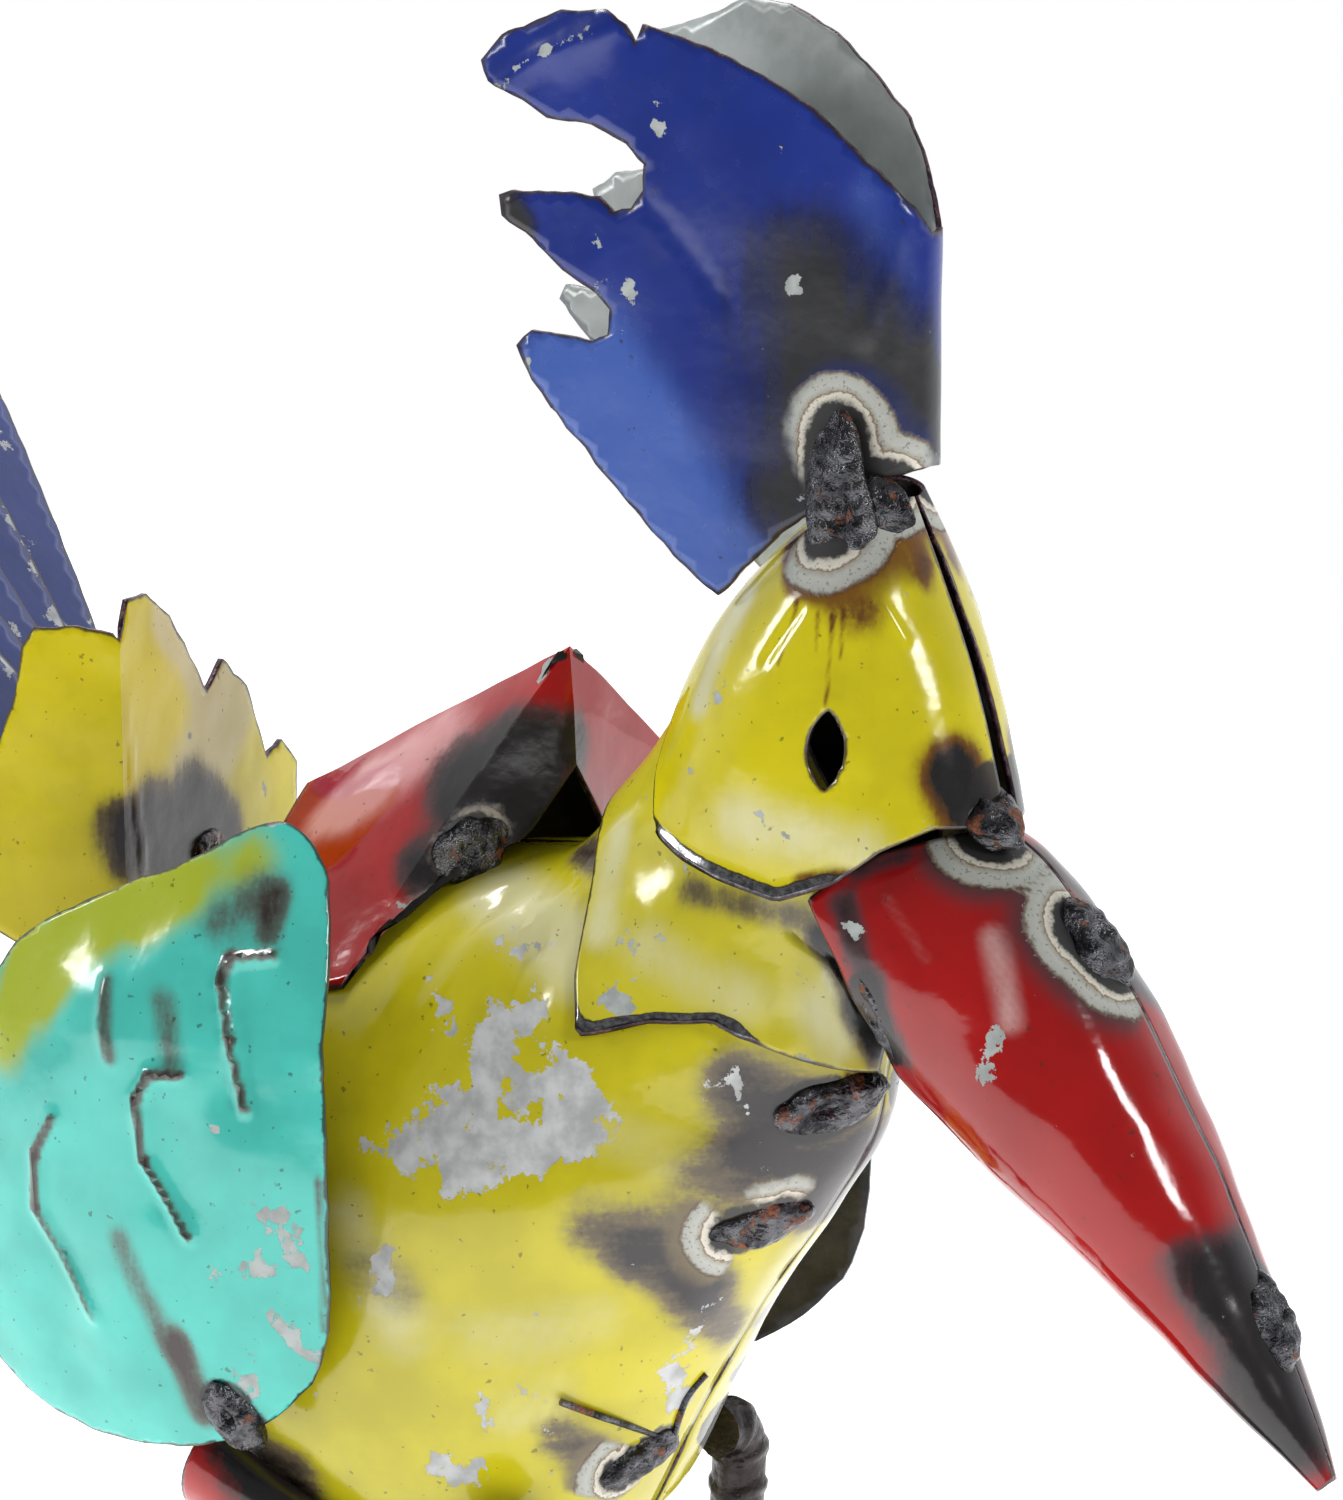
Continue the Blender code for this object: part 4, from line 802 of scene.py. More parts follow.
CREST_HEEL = [(0.815, 4.125), (0.905, 4.212), (0.985, 4.270), (1.075, 4.320), (1.125, 4.335), (1.162, 4.345)]
CREST_FOOT_CORNER = 4.352


def is_inside(outline, x, y):
    """Whether a place on the flat sheet lies inside a closed outline."""
    inside = False
    for (x0, y0), (x1, y1) in zip(outline, outline[1:] + outline[:1]):
        if (y0 > y) != (y1 > y) and x < (x1 - x0) * (y - y0) / (y1 - y0) + x0:
            inside = not inside
    return inside


def edge_distance(outline, x, y):
    """Distance from a place on the flat sheet to its outline."""
    nearest = 1e9
    for (x0, y0), (x1, y1) in zip(outline, outline[1:] + outline[:1]):
        run, rise = x1 - x0, y1 - y0
        f = min(max(((x - x0) * run + (y - y0) * rise) / (run * run + rise * rise), 0.0), 1.0)
        nearest = min(nearest, hypot(x - x0 - f * run, y - y0 - f * rise))
    return nearest


def torch_cut(outline, pitch, ragged):
    """An outline with points every pitch, moved a little in and out as a hand-held torch leaves it."""
    run = []
    for (x0, y0), (x1, y1) in zip(outline, outline[1:] + outline[:1]):
        length = hypot(x1 - x0, y1 - y0)
        count = max(1, int(length / pitch))
        for k in range(count):
            x, y = x0 + (x1 - x0) * k / count, y0 + (y1 - y0) * k / count
            way = Vector((x / pitch * 0.45, y / pitch * 0.45, 3.1))
            run.append((x + ragged * noise.noise(way), y + ragged * noise.noise(way + Vector((9, 4, 2)))))
    return run


def flat_pattern(outline, spacing, extra=()):
    """Triangles that fill an outline, with points inside it that let it bend."""
    xs, ys = [p[0] for p in outline], [p[1] for p in outline]
    inside = list(extra)
    for i in range(int((max(xs) - min(xs)) / spacing) + 2):
        for j in range(int((max(ys) - min(ys)) / spacing) + 2):
            x, y = min(xs) + i * spacing, min(ys) + (j + 0.5 * (i % 2)) * spacing
            if is_inside(outline, x, y) and edge_distance(outline, x, y) > 0.4 * spacing:
                inside.append((x, y))
    count = len(outline)
    border = [(i, (i + 1) % count) for i in range(count)]
    found = delaunay_2d_cdt([Vector(p) for p in outline + inside], border, [], 0, 1e-8, False)
    flat = [tuple(p) for p in found[0]]
    triangles = [tuple(f) for f in found[2]
                 if is_inside(outline, sum(flat[i][0] for i in f) / 3, sum(flat[i][1] for i in f) / 3)]
    return flat, triangles


def bent_pattern(outline, spacing, bend, facing, extra=()):
    """Points and faces of a flat pattern taken to its place by bend, with its front facing a way."""
    flat, triangles = flat_pattern(outline, spacing, extra)
    spots = [Vector(bend(*p)) for p in flat]
    facing = Vector(facing)
    a, b, c = max(triangles, key=lambda f: (spots[f[0]] + spots[f[1]] + spots[f[2]]).dot(facing))
    if (spots[b] - spots[a]).cross(spots[c] - spots[a]).dot(facing) < 0:
        triangles = [f[::-1] for f in triangles]
    return spots, triangles


def smooth_outline(outline, steps):
    """A closed curve through the corners of an outline."""
    ring = outline[-2:] + outline + outline[:2]
    return [tuple(spline([p[i] for p in ring], 2 + k / steps) for i in (0, 1))
            for k in range(len(outline) * steps)]


crest_arc = CREST_RADIUS * (pi / 2 - CREST_FLARE)
crest_centre = CREST_FOLD * GRID - CREST_RADIUS
crest_tangent_x = crest_centre + CREST_RADIUS * sin(CREST_FLARE)
crest_tangent_y = CREST_RADIUS * cos(CREST_FLARE)


def crest_unrolled(x, z, side):
    """Where a point of a leaf lies on the flat sheet, measured from the fold."""
    along, height = x * GRID, z * GRID
    if along > crest_tangent_x:
        return (side * CREST_RADIUS * acos((along - crest_centre) / CREST_RADIUS), height)
    return (side * (crest_arc + (crest_tangent_x - along) / cos(CREST_FLARE)), height)


def crest_bend(p, height):
    """The flat sheet folded to the crest's place."""
    side, run = (1 if p > 0 else -1), abs(p)
    if run < crest_arc:
        turn = run / CREST_RADIUS
        return (crest_centre + CREST_RADIUS * cos(turn), side * CREST_RADIUS * sin(turn), height)
    past = run - crest_arc
    out = crest_tangent_y + past * sin(CREST_FLARE)
    return (crest_tangent_x - past * cos(CREST_FLARE), side * out, height)


right = [crest_unrolled(x, z, -1) for x, z in CREST_RIGHT + CREST_HEEL]
left = [crest_unrolled(x, z, 1) for x, z in CREST_LEFT + CREST_HEEL]
outline = torch_cut(right + [(0.0, CREST_FOOT_CORNER * GRID)] + left[::-1],
                    pitch=0.0016, ragged=0.00045)
spots, faces = bent_pattern(outline, spacing=0.0021, bend=crest_bend, facing=(0, -1, 0))
crest_enamel = enamel("blue_enamel_crest", (0.008, 0.030, 0.27), (0.060, 0.13, 0.48), gloss=0.24,
                      burnt=(0.016, 0.016, 0.018), scorched=(0.006, 0.012, 0.085), flecks=0.69,
                      streaks=(1.0, 1.0, 0.10))
bare_zinc = mottled_metal("bare_zinc", (0.52, 0.55, 0.54), (0.36, 0.39, 0.38), rough=(0.35, 0.5),
                          metallic=0.55, scale=45.0, bumps=0.0002)
_, crest_tree = steel_sheet(
    "crest_sheet", spots, faces, (crest_enamel, bare_zinc, cut_rim), ["crest"],
    [CREST_WELD, CREST_WELD_SIDE],
    soot=[(815, 310, 825, 470, 17, 0.62), (835, 380, 850, 450, 9, 0.5), (880, 350, 900, 450, 9, 0.45),
          (775, 500, 800, 520, 5, 0.5), (505, 200, 520, 225, 3, 1.0), (915, 390, 922, 470, 6, 1.2),
          (905, 405, 928, 425, 5, 1.6),
          (800, 240, 805, 260, 8, 0.25)],
    ash=[(860, 430, 860, 440, 12, 1.2)],
    chips=[(655, 100, 662, 130, 2.5, 0.8), (632, 285, 625, 350, 2.5, 0.8), (795, 280, 798, 292, 1.8, 1.3),
           (590, 225, 600, 250, 1.5, 0.8), (750, 240, 760, 240, 1.2, 0.9), (928, 330, 930, 470, 1.2, 0.75),
           (650, 370, 670, 400, 2.5, 0.4), (500, 84, 545, 50, 1.3, 0.72), (545, 50, 610, 24, 1.3, 0.66)],
    # painted reflection: a paler blue on the lower leaf and along the front fold
    pale_reflection=[(560, 400, 720, 560, 13, 1.0), (600, 340, 640, 420, 10, 0.5), (870, 200, 900, 300, 7, 0.4)],
    creases=[([(645, 200), (680, 240), (720, 300)], 1.0, -0.7), ([(498, 88), (545, 52), (615, 24)], 1.6, 0.9),
             ([(905, 230), (880, 300), (865, 340)], 1.6, 0.5)],
    dents=[(560, 60, 600, 40, 3, 0.8), (700, 150, 760, 220, 12, 0.6)], wave=0.5, wave_size=0.03)
weld_bead("crest_weld", crest_tree, (104.2, -9.0, 436.0, 105.6, -13.5, 412.5, 6.8, 1), height=0.6)
weld_bead("crest_weld_side", crest_tree, (107.5, -9.5, 428.5, 112.4, -8.5, 427.5, 5.0, 1), height=0.6)

# The hood: a red sheet folded like a roof over the bird's back, closed in front by two facets that
# meet in a dark bow line. One flat bead welds its right foot to the trunk.
HOOD_APEX = (0.365, 0.00, 3.936)
HOOD_BOW = (0.380, 0.00, 3.697)
HOOD_RIDGE_END = (-0.280, 0.00, 3.590)
HOOD_WING_CORNER = (0.340, 0.50, 3.570)
HOOD_BACK_CORNER = (-0.300, 0.36, 3.480)
HOOD_FEET = {-1: (0.070, -0.38), 1: (0.300, 0.42)}
HOOD_BACK_FEET = {-1: (-0.330, -0.38), 1: (-0.330, 0.42)}
HOOD_SAG = (0.0, 0.055, 0.045, 0.015, 0.0)
HOOD_CLEARANCE = 0.0024
HOOD_FINE = 30
HOOD_FACET_STEPS = 16
HOOD_SWELL = 0.005
HOOD_LOOK_DOWN = 0.6        # height from which the trunk's back is looked for
HOOD_NO_TRUNK = 0.34        # height used where no trunk is below


def above_trunk(x, y):
    """Lowest height at which a point clears the trunk's back."""
    start = Vector((x, -max(abs(y), 0.0004), HOOD_LOOK_DOWN))
    hit = right_aim.ray_cast(start, Vector((0, 0, -1)))[0]
    return (hit.z if hit else HOOD_NO_TRUNK) + HOOD_CLEARANCE


def hood_place(spot):
    """A corner of the hood, from the drawing's squares to metres."""
    return Vector((spot[0] * GRID, spot[1] * GRID, spot[2] * GRID))


def hood_foot(x, y):
    """A corner of the hood that stands on the trunk's back."""
    return Vector((x * GRID, y * GRID, above_trunk(x * GRID, y * GRID)))


def hood_path(points, share):
    """The place at a share of the way along a line of corners."""
    part = share * (len(points) - 1)
    k = min(int(part), len(points) - 2)
    return points[k].lerp(points[k + 1], part - k)


apex, bow, ridge_end = hood_place(HOOD_APEX), hood_place(HOOD_BOW), hood_place(HOOD_RIDGE_END)
spots, faces, index = [], [], {}


def hood_point(spot):
    """The number of a point of the hood's mesh, new or shared with a neighbour."""
    key = tuple(round(v, 6) for v in spot)
    if key not in index:
        index[key] = len(spots)
        spots.append(spot)
    return index[key]


for side in (-1, 1):
    foot, back = hood_foot(*HOOD_FEET[side]), hood_foot(*HOOD_BACK_FEET[side])
    front_line = [apex, foot] if side < 0 else [apex, hood_place(HOOD_WING_CORNER), foot]
    back_line = [ridge_end, back] if side < 0 else [ridge_end, hood_place(HOOD_BACK_CORNER), back]
    rows = []
    for i in range(HOOD_FINE + 1):
        f = i / HOOD_FINE
        p, q = hood_path(front_line, f), hood_path(back_line, f)
        roof = []
        for k in range(HOOD_FINE + 1):
            spot = p.lerp(q, k / HOOD_FINE)
            spot.z += HOOD_SWELL * sin(pi * f) * (0.4 + 0.6 * sin(pi * k / HOOD_FINE))
            spot.z = max(spot.z, above_trunk(spot.x, spot.y))
            roof.append(spot)
        keel = apex.lerp(bow, f)
        facet = [keel.lerp(roof[0], k / HOOD_FACET_STEPS) for k in range(HOOD_FACET_STEPS)]
        for k, spot in enumerate(facet):
            if side < 0:
                sag = spline(HOOD_SAG, k * (len(HOOD_SAG) - 1) / HOOD_FACET_STEPS)
                spot.z -= max(sag, 0.0) * GRID * f * f
            spot.z = max(spot.z, above_trunk(spot.x, spot.y))
        rows.append(facet + roof)
    for row, below in zip(rows, rows[1:]):
        for k in range(len(row) - 1):
            ring = []
            for spot in (row[k], below[k], below[k + 1], row[k + 1]):
                i = hood_point(spot)
                if i not in ring:
                    ring.append(i)
            if len(ring) > 2:
                faces.append(tuple(ring) if side > 0 else tuple(ring[::-1]))
hood_enamel = enamel("red_enamel_hood", (0.46, 0.006, 0.006), (0.70, 0.30, 0.30), flecks=0.71, gloss=0.09,
                     burnt=(0.014, 0.011, 0.012), scorched=(0.09, 0.03, 0.03))
HOOD_WELD = [(466, 852, 478, 846, 5.8, 1)]
_, hood_tree = steel_sheet(
    "hood_sheet", spots, faces, (hood_enamel, burnt_back, cut_rim), ["hood"], HOOD_WELD,
    soot=[(470, 785, 560, 800, 8, 1.3), (520, 740, 566, 745, 6, 1.0), (425, 870, 440, 900, 5, 1.1),
          (500, 820, 530, 810, 6, 1.2)],
    ash=[(455, 850, 480, 830, 7, 0.55)],
    chips=[(545, 655, 540, 680, 1.5, 0.9), (500, 690, 510, 680, 1.5, 0.8), (405, 900, 412, 905, 1.5, 1.1)],
    # painted reflection: the pink-white sheen on the roof's left side, seen at a grazing angle
    pale_reflection=[(330, 760, 420, 720, 9, 0.9), (320, 820, 360, 790, 6, 0.7)], wave=0.5)
weld_bead("hood_weld", hood_tree, HOOD_WELD[0], height=0.28)

# The wings: dished shells of teal enamelled sheet, with curved slits pushed out as feathers. The
# right one lies close to the trunk and is welded at its foot, and the left one stands out and
# shows its black inside.
WING_OUTLINE = [
    (0.040, 3.640), (0.150, 3.560), (0.195, 3.400), (0.220, 3.150), (0.225, 2.850), (0.180, 2.590),
    (0.010, 2.430), (-0.240, 2.365), (-0.500, 2.410), (-0.700, 2.570), (-0.810, 2.800),
    (-0.780, 3.000), (-0.640, 3.100), (-0.560, 3.260), (-0.480, 3.380), (-0.300, 3.480), (-0.120, 3.560),
]
WING_RIM = 0.575
WING_DISH = 0.160
WING_FULLNESS = 1.2
WING_LEAN, WING_LEAN_START = 0.10, 0.3
WING_MIDDLE = (-0.290, 3.000)
WING_REACH = (0.660, 0.760)
LEFT_WING_HINGE = (-0.800, 0.450)
LEFT_WING_OPEN = radians(33.0)
LEFT_WING_SHIFT = (0.431, -0.170)


def wing_depth(x, z):
    """How far the dish stands out of its rim, in squares of the drawing."""
    across = (x - WING_MIDDLE[0]) / WING_REACH[0]
    up = (z - WING_MIDDLE[1]) / WING_REACH[1]
    dish = WING_DISH * max(0.0, 1.0 - (across * across + up * up) ** WING_FULLNESS)
    return dish - WING_LEAN * max(0.0, up - WING_LEAN_START)


def right_wing_bend(x, z):
    """The flat outline taken to the bird's right side."""
    return (x * GRID, -(WING_RIM + wing_depth(x, z)) * GRID, z * GRID)


def left_wing_bend(x, z):
    """The same outline on the left side, swung open about its back edge."""
    out = wing_depth(x, z)
    along = x - LEFT_WING_HINGE[0]
    turn_x = LEFT_WING_HINGE[0] + along * cos(LEFT_WING_OPEN) - out * sin(LEFT_WING_OPEN)
    turn_y = LEFT_WING_HINGE[1] + along * sin(LEFT_WING_OPEN) + out * cos(LEFT_WING_OPEN)
    return ((turn_x + LEFT_WING_SHIFT[0]) * GRID, turn_y * GRID, (z + LEFT_WING_SHIFT[1]) * GRID)


wing_outline = torch_cut(smooth_outline(WING_OUTLINE, 6), pitch=0.022, ragged=0.005)
# The wing's second, olive tone is painted reflection of the yellow fan.
wing_enamel = enamel("teal_enamel", (0.085, 0.66, 0.56), (0.42, 0.50, 0.03), scorched=(0.10, 0.16, 0.13),
                     burnt=(0.040, 0.025, 0.022), flecks=0.70, gloss=0.14)
WING_WELD = (225, 1405, 245, 1430, 4.5, 1)
WING_SLITS = [
    ([(275, 955), (231, 957), (222, 979), (228, 1040), (243, 1111)], 1.1, 1.8),
    ([(180, 1075), (150, 1075), (137, 1099), (144, 1159), (189, 1237)], 1.1, 1.8),
    ([(57, 1117), (37, 1153), (37, 1207), (66, 1265), (96, 1314)], 1.5, 1.3),
    ([(111, 979), (108, 1020), (114, 1057)], 1.5, 0.9),
]
spots, faces = bent_pattern(wing_outline, spacing=0.0125, bend=right_wing_bend, facing=(0, -1, 0))
_, wing_tree = steel_sheet(
    "wing_sheet_right", spots, faces, (wing_enamel, burnt_back, wing_enamel), ["wing_right"],
    [WING_WELD],
    # The first soot mark is painted shade: the dark teal shading above the top slit.
    soot=[(225, 925, 262, 890, 5.5, 0.38), (275, 895, 268, 935, 2.4, 0.55),
          (231, 957, 222, 979, 0.8, 0.9), (222, 979, 228, 1040, 0.7, 0.9),
          (228, 1040, 243, 1111, 0.7, 0.9), (275, 955, 231, 957, 0.7, 0.9), (180, 1075, 150, 1075, 0.7, 0.9),
          (150, 1075, 137, 1099, 0.8, 0.9), (137, 1099, 144, 1159, 0.7, 0.9),
          (144, 1159, 189, 1237, 0.7, 0.9),
          (57, 1117, 37, 1153, 0.9, 0.8), (37, 1153, 37, 1207, 0.9, 0.8), (37, 1207, 96, 1314, 0.9, 0.5),
          (111, 979, 114, 1057, 1.6, 0.5), (122, 1240, 175, 1350, 3.0, 0.42),
          (178, 1345, 204, 1412, 3.0, 0.7), (165, 1000, 172, 1060, 3.0, 0.38),
          (320, 1180, 326, 1330, 1.0, 0.5)],
    chips=[(276, 1216, 290, 1260, 4.2, 0.95), (220, 1275, 262, 1262, 3.2, 0.9),
           (277, 1312, 312, 1352, 3.2, 0.9), (240, 1350, 250, 1390, 4.0, 0.9),
           (262, 1160, 278, 1145, 1.5, 0.8), (210, 1128, 218, 1132, 1.5, 0.8)],
    # painted reflection: the olive patches at the top left
    pale_reflection=[(40, 960, 150, 890, 8, 1.0), (0, 1040, 40, 980, 7, 0.9), (150, 900, 250, 860, 7, 0.7)],
    dents=[(250, 1000, 240, 1100, 6, -1.4), (170, 1120, 180, 1200, 5, -1.2), (100, 1000, 60, 1100, 8, 1.2),
           (200, 930, 120, 1030, 6, 1.3), (150, 1250, 110, 1330, 8, 1.0), (60, 1250, 70, 1350, 7, -1.0)],
    creases=WING_SLITS, wave=0.6)
weld_bead("wing_weld", wing_tree, WING_WELD, height=0.7)
spots, faces = bent_pattern(wing_outline, spacing=0.024, bend=left_wing_bend, facing=(0, 1, 0))
steel_sheet("wing_sheet_left", spots, faces, (wing_enamel, burnt_back, wing_enamel),
            ["wing_left"], wave=0.6)

# The fan over the rump: a yellow sheet with a torch-cut scalloped top, creased near its right side.
# Its foot follows the trunk's back, where one bead holds it.
FAN_CREASE = (-0.520, -0.300)
FAN_ACROSS = radians(13.0)
FAN_BACK = radians(76.0)
FAN_RIGHT = [
    (0.02, 3.920), (0.10, 3.930), (0.19, 3.925), (0.22, 3.885), (0.225, 3.840), (0.245, 3.760),
    (0.275, 3.684), (0.36, 3.670), (0.42, 3.580), (0.42, 3.440), (0.36, 3.330), (0.26, 3.270), (0.12, 3.200),
]
FAN_LEFT = [
    (0.04, 3.985), (0.13, 3.985), (0.24, 3.920), (0.42, 3.735), (0.50, 3.790), (0.62, 3.710),
    (0.72, 3.540), (0.80, 3.560), (0.88, 3.500), (0.86, 3.300), (0.78, 3.200), (0.66, 3.160),
    (0.55, 3.125), (0.46, 3.210), (0.37, 3.270), (0.28, 3.292), (0.20, 3.280), (0.12, 3.237),
    (0.06, 3.195),
]
FAN_CREASE_ENDS = (3.130, 3.910)


def fan_bend(across, z):
    """The flat fan folded at its crease and stood on the rump."""
    turn = FAN_ACROSS if across > 0 else FAN_BACK
    x = FAN_CREASE[0] - across * sin(turn) if across > 0 else FAN_CREASE[0] + across * sin(turn)
    return (x * GRID, (FAN_CREASE[1] + across * cos(turn)) * GRID, z * GRID)


foot, top = FAN_CREASE_ENDS
outline = [(0.0, top)] + [(-a, z) for a, z in FAN_RIGHT] + [(0.0, foot)] + FAN_LEFT[::-1]
outline = torch_cut(outline, pitch=0.022, ragged=0.006)
crease_line = [(0.0, foot + (top - foot) * k / 40) for k in range(1, 40)]
spots, faces = bent_pattern(outline, spacing=0.018, bend=fan_bend, facing=(1, 0, 0), extra=crease_line)
fan_enamel = enamel("yellow_enamel_fan", (0.74, 0.62, 0.010), (0.66, 0.58, 0.28), flecks=0.71, gloss=0.18,
                    burnt=(0.018, 0.013, 0.014), scorched=(0.12, 0.085, 0.03), specular=0.2)
FAN_WELD = [(203, 853, 212, 846, 4.0, 1)]
_, fan_tree = steel_sheet(
    "rump_fan_sheet", spots, faces, (fan_enamel, burnt_back, cut_rim), ["rump_fan"], FAN_WELD,
    soot=[(150, 830, 200, 850, 8, 1.5), (190, 800, 225, 840, 7, 1.2), (120, 820, 130, 860, 4, 0.7)],
    ash=[(205, 840, 205, 842, 3, 0.5)],
    chips=[(262, 785, 264, 795, 1.5, 0.9), (186, 730, 190, 735, 1.5, 0.8)],
    # painted light: the paler cream of the fan's right part, on its lit side
    pale_reflection=[(235, 690, 300, 790, 11, 1.3), (165, 615, 230, 700, 6, 1.2)],
    creases=[([(111, 650), (130, 740), (144, 871)], 0.8, 0.5)], wave=0.4)
weld_bead("fan_weld", fan_tree, FAN_WELD[0], height=0.6)

# The tail: five long strips of blue enamelled sheet with round ends, spread flat, stacked at their
# roots and fixed to the back of the trunk. Their ends droop and their edges are worn bright.
TAIL_ROOT = (-0.718, 3.2065)
TAIL_RISE = radians(57.0)
TAIL_SPREAD = radians(8.0)
TAIL_DROOP = 0.12
TAIL_LENGTH = 0.189
FEATHER_WIDTH = 0.029
FEATHER_COUNT = 5
FEATHER_STEP = 0.0024
tail_enamel = enamel("blue_enamel_tail", (0.010, 0.035, 0.24), (0.45, 0.48, 0.50), flecks=0.60, gloss=0.2,
                     bare=(0.62, 0.64, 0.66), chip_scale=90.0)
tail_along = Vector((-cos(TAIL_RISE), 0, sin(TAIL_RISE)))
tail_up = Vector((sin(TAIL_RISE), 0, cos(TAIL_RISE)))
half = FEATHER_WIDTH / 2
for n in range(FEATHER_COUNT):
    turn = (n - (FEATHER_COUNT - 1) / 2) * TAIL_SPREAD
    axis = tail_along * cos(turn) + Vector((0, sin(turn), 0))
    across_way = Vector((0, cos(turn), 0)) - tail_along * sin(turn)
    root = Vector((TAIL_ROOT[0] * GRID, (n - (FEATHER_COUNT - 1) / 2) * 0.10 * half, TAIL_ROOT[1] * GRID))
    root += tail_up * (FEATHER_COUNT - 1 - n) * FEATHER_STEP
    length = TAIL_LENGTH * (1.0 - 0.03 * abs(n - (FEATHER_COUNT - 1) / 2) ** 1.5)
    # the outline is set out in shares of the feather's length and of its half width
    edge = [(0.0, 0.55 * half), (0.17 * length, 0.78 * half)]
    edge += [((0.35 + 0.13 * k) * length, half) for k in range(5)]
    outline = [(run, -across) for run, across in edge]
    outline += [(length - half * 0.9 * (1 - cos(a)), half * sin(a))
                for a in [radians(d) for d in (-60, -35, -12, 12, 35, 60)]]
    outline += edge[::-1]

    def feather_bend(run, across):
        """The flat strip laid along the tail's plane, drooping towards its end."""
        spot = axis * run + across_way * across
        return root + spot - tail_up * (TAIL_DROOP * spot.dot(tail_along) ** 2 / TAIL_LENGTH)

    spots, faces = bent_pattern(torch_cut(outline, pitch=0.002, ragged=0.0004), spacing=0.003,
                                bend=feather_bend, facing=tail_up)
    steel_sheet("tail_feather_sheet_%d" % (n + 1), spots, faces, (tail_enamel, bare_zinc, cut_rim),
                ["tail_feather_%d" % (n + 1)], wave=0.2)

# The thighs: half cones of red enamelled sheet laid against the trunk below the wings, burnt black
# where the leg and the wing are welded.
THIGH_TOP, THIGH_END = Vector((-0.190, 2.260)), Vector((0.130, 2.130))
THIGH_RADII = (0.150, 0.080)
THIGH_DEPTH = 0.120
THIGH_CLEARANCE = 0.0024
THIGH_FLATTENING = 0.3
THIGH_ROWS, THIGH_COLUMNS = 30, 24
thigh_enamel = enamel("red_enamel_thigh", (0.45, 0.01, 0.01), (0.75, 0.30, 0.30), flecks=0.68)
axis = (THIGH_END - THIGH_TOP).normalized()
side_on = Vector((-axis.y, axis.x))
for name, side in (("right", -1), ("left", 1)):
    spots, faces = [], []
    for i in range(THIGH_ROWS + 1):
        f = i / THIGH_ROWS
        middle = THIGH_TOP.lerp(THIGH_END, f)
        radius = THIGH_RADII[0] + (THIGH_RADII[1] - THIGH_RADII[0]) * f
        for j in range(THIGH_COLUMNS + 1):
            turn = -pi / 2 + pi * j / THIGH_COLUMNS
            spot = middle + side_on * radius * sin(turn)
            x, z = spot.x * GRID, spot.y * GRID
            wall = right_aim.ray_cast(Vector((x, -0.2, z)), Vector((0, 1, 0)))[0]
            wall = wall or right_aim.find_nearest(Vector((x, -0.05, z)))[0]
            out = THIGH_CLEARANCE - wall.y + THIGH_DEPTH * GRID * (1 - THIGH_FLATTENING * f) * cos(turn)
            spots.append(Vector((x, side * out, z)))
    for i in range(THIGH_ROWS):
        for j in range(THIGH_COLUMNS):
            k = i * (THIGH_COLUMNS + 1) + j
            face = (k, k + THIGH_COLUMNS + 1, k + THIGH_COLUMNS + 2, k + 1)
            faces.append(face if side < 0 else face[::-1])
    steel_sheet("thigh_sheet_" + name, spots, faces, (thigh_enamel, burnt_back, cut_rim),
                ["thigh_" + name], soot=[(250, 1450, 300, 1500, 7, 1.3), (300, 1450, 330, 1490, 6, 1.2)],
                both_sides=True, wave=0.3)

# The legs: ribbed reinforcing bar, bent at the hip and the ankle and darkened by heat. Each one
# reaches in to the trunk's side at the hip and stands on its heel between the toes.
HIP = (0.480, 2.235)
HIP_ROOM = 0.366
ANKLE = (0.415, 1.100)
HEEL_X = 0.470
LEG_SPREAD = 0.047
BAR_DIAMETER = 0.0127
TOE_TOP = 0.0161
BEND_RADIUS = 0.75          # of the bar's bends, in diameters
RIB_PITCH = 0.0082
RIB_SLANT = 0.0035
RIB_DEPTH = 0.10            # in bar radii
bar_steel = mottled_metal("dark_bar_steel", (0.045, 0.036, 0.036), (0.014, 0.011, 0.012),
                          rust=(0.07, 0.03, 0.02), rust_share=0.60, rough=(0.25, 0.45), metallic=0.7,
                          scale=120.0)


def rounded(points, radius, steps):
    """A line of corners with each bend rounded."""
    path = [points[0]]
    for before, corner, after in zip(points, points[1:], points[2:]):
        into, out = (before - corner).normalized(), (after - corner).normalized()
        reach = radius / (sin(into.angle(out) / 2) / cos(into.angle(out) / 2))
        start, finish = corner + into * reach, corner + out * reach
        for k in range(steps + 1):
            f = k / steps
            path.append(start * (1 - f) ** 2 + corner * 2 * f * (1 - f) + finish * f * f)
    return path + [points[-1]]


def evenly(path, pitch):
    """The same path with a point every pitch."""
    run, carried = [path[0]], 0.0
    for a, b in zip(path, path[1:]):
        length = (b - a).length
        at = pitch - carried
        while at < length:
            run.append(a.lerp(b, at / length))
            at += pitch
        carried = length - (at - pitch)
    if (run[-1] - path[-1]).length > pitch * 0.3:
        run.append(path[-1])
    return run


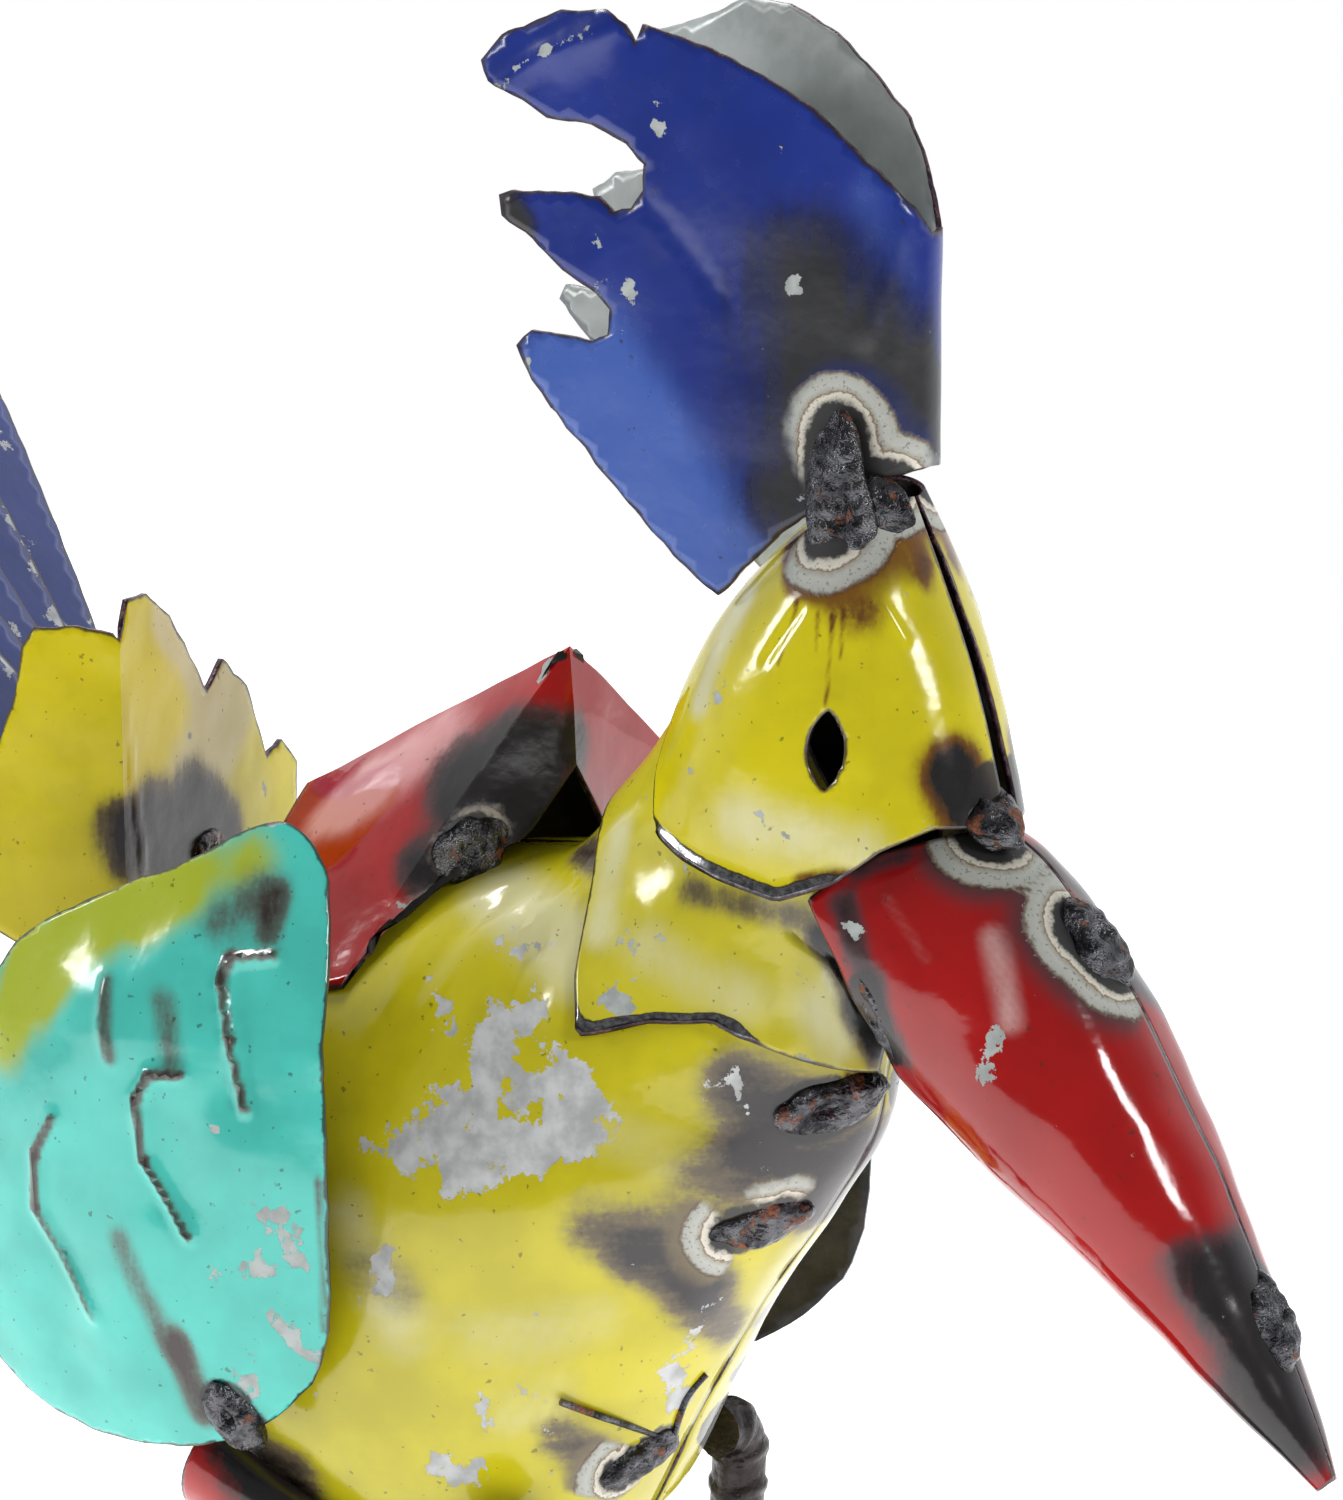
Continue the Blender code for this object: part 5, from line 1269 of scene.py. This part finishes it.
def ribbed_bar(name, path, diameter, stands_for, sides=40, pitch=0.0009):
    """Round bar along a path, with slanted ribs on two sides and a spine on the other two."""
    path = evenly(path, pitch)
    spots, faces, across = [], [], Vector((0, 0, 1))
    for i, p in enumerate(path):
        along = (path[min(i + 1, len(path) - 1)] - path[max(i - 1, 0)]).normalized()
        across = (across - along * across.dot(along)).normalized()
        up = along.cross(across)
        for k in range(sides):
            turn = 2 * pi * k / sides
            slant = RIB_SLANT * abs(sin(turn))
            rib = smooth(cos(2 * pi * (i * pitch + slant) / RIB_PITCH), 0.35, 0.8)
            rib *= smooth(abs(sin(turn)), 0.1, 0.4)
            spine = smooth(abs(cos(turn)), 0.965, 0.995)
            radius = diameter / 2 * (1 - RIB_DEPTH + RIB_DEPTH * max(rib, spine))
            radius *= 1.0 + 0.015 * noise.noise(p * 300 + Vector((k * 0.3, 0, 0)))
            spots.append(p + (across * cos(turn) + up * sin(turn)) * radius)
    for i in range(len(path) - 1):
        for k in range(sides):
            a, b = i * sides + k, i * sides + (k + 1) % sides
            faces.append((a, b, b + sides, a + sides))
    faces += [tuple(reversed(range(sides))), tuple(range((len(path) - 1) * sides, len(path) * sides))]
    mesh = bpy.data.meshes.new(name)
    mesh.from_pydata(spots, [], faces)
    mesh.materials.append(bar_steel)
    mesh.shade_smooth()
    mesh.set_sharp_from_angle(angle=radians(60.0))
    piece = put_in_scene(name, mesh)
    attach(piece, "root")
    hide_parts(stands_for)


for name, side in (("right", -1), ("left", 1)):
    corners = [Vector((HIP[0] * GRID, side * HIP_ROOM * GRID, HIP[1] * GRID)),
               Vector((HIP[0] * GRID, side * LEG_SPREAD, HIP[1] * GRID)),
               Vector((ANKLE[0] * GRID, side * LEG_SPREAD, ANKLE[1] * GRID)),
               Vector((HEEL_X * GRID, side * LEG_SPREAD, TOE_TOP))]
    ribbed_bar("leg_bar_" + name, rounded(corners, BEND_RADIUS * BAR_DIAMETER, steps=16), BAR_DIAMETER,
               "leg_" + name)

# The toes and the base: two bent rods welded at each heel, and the low steel plate that everything
# stands on. They are shown by their plain solids, in the same darkened steel as the legs.
for node in ("toes_front_right", "toes_front_left", "toes_back_right", "toes_back_left", "base_plate"):
    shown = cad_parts[node]
    shown.data.materials.clear()
    shown.data.materials.append(bar_steel)
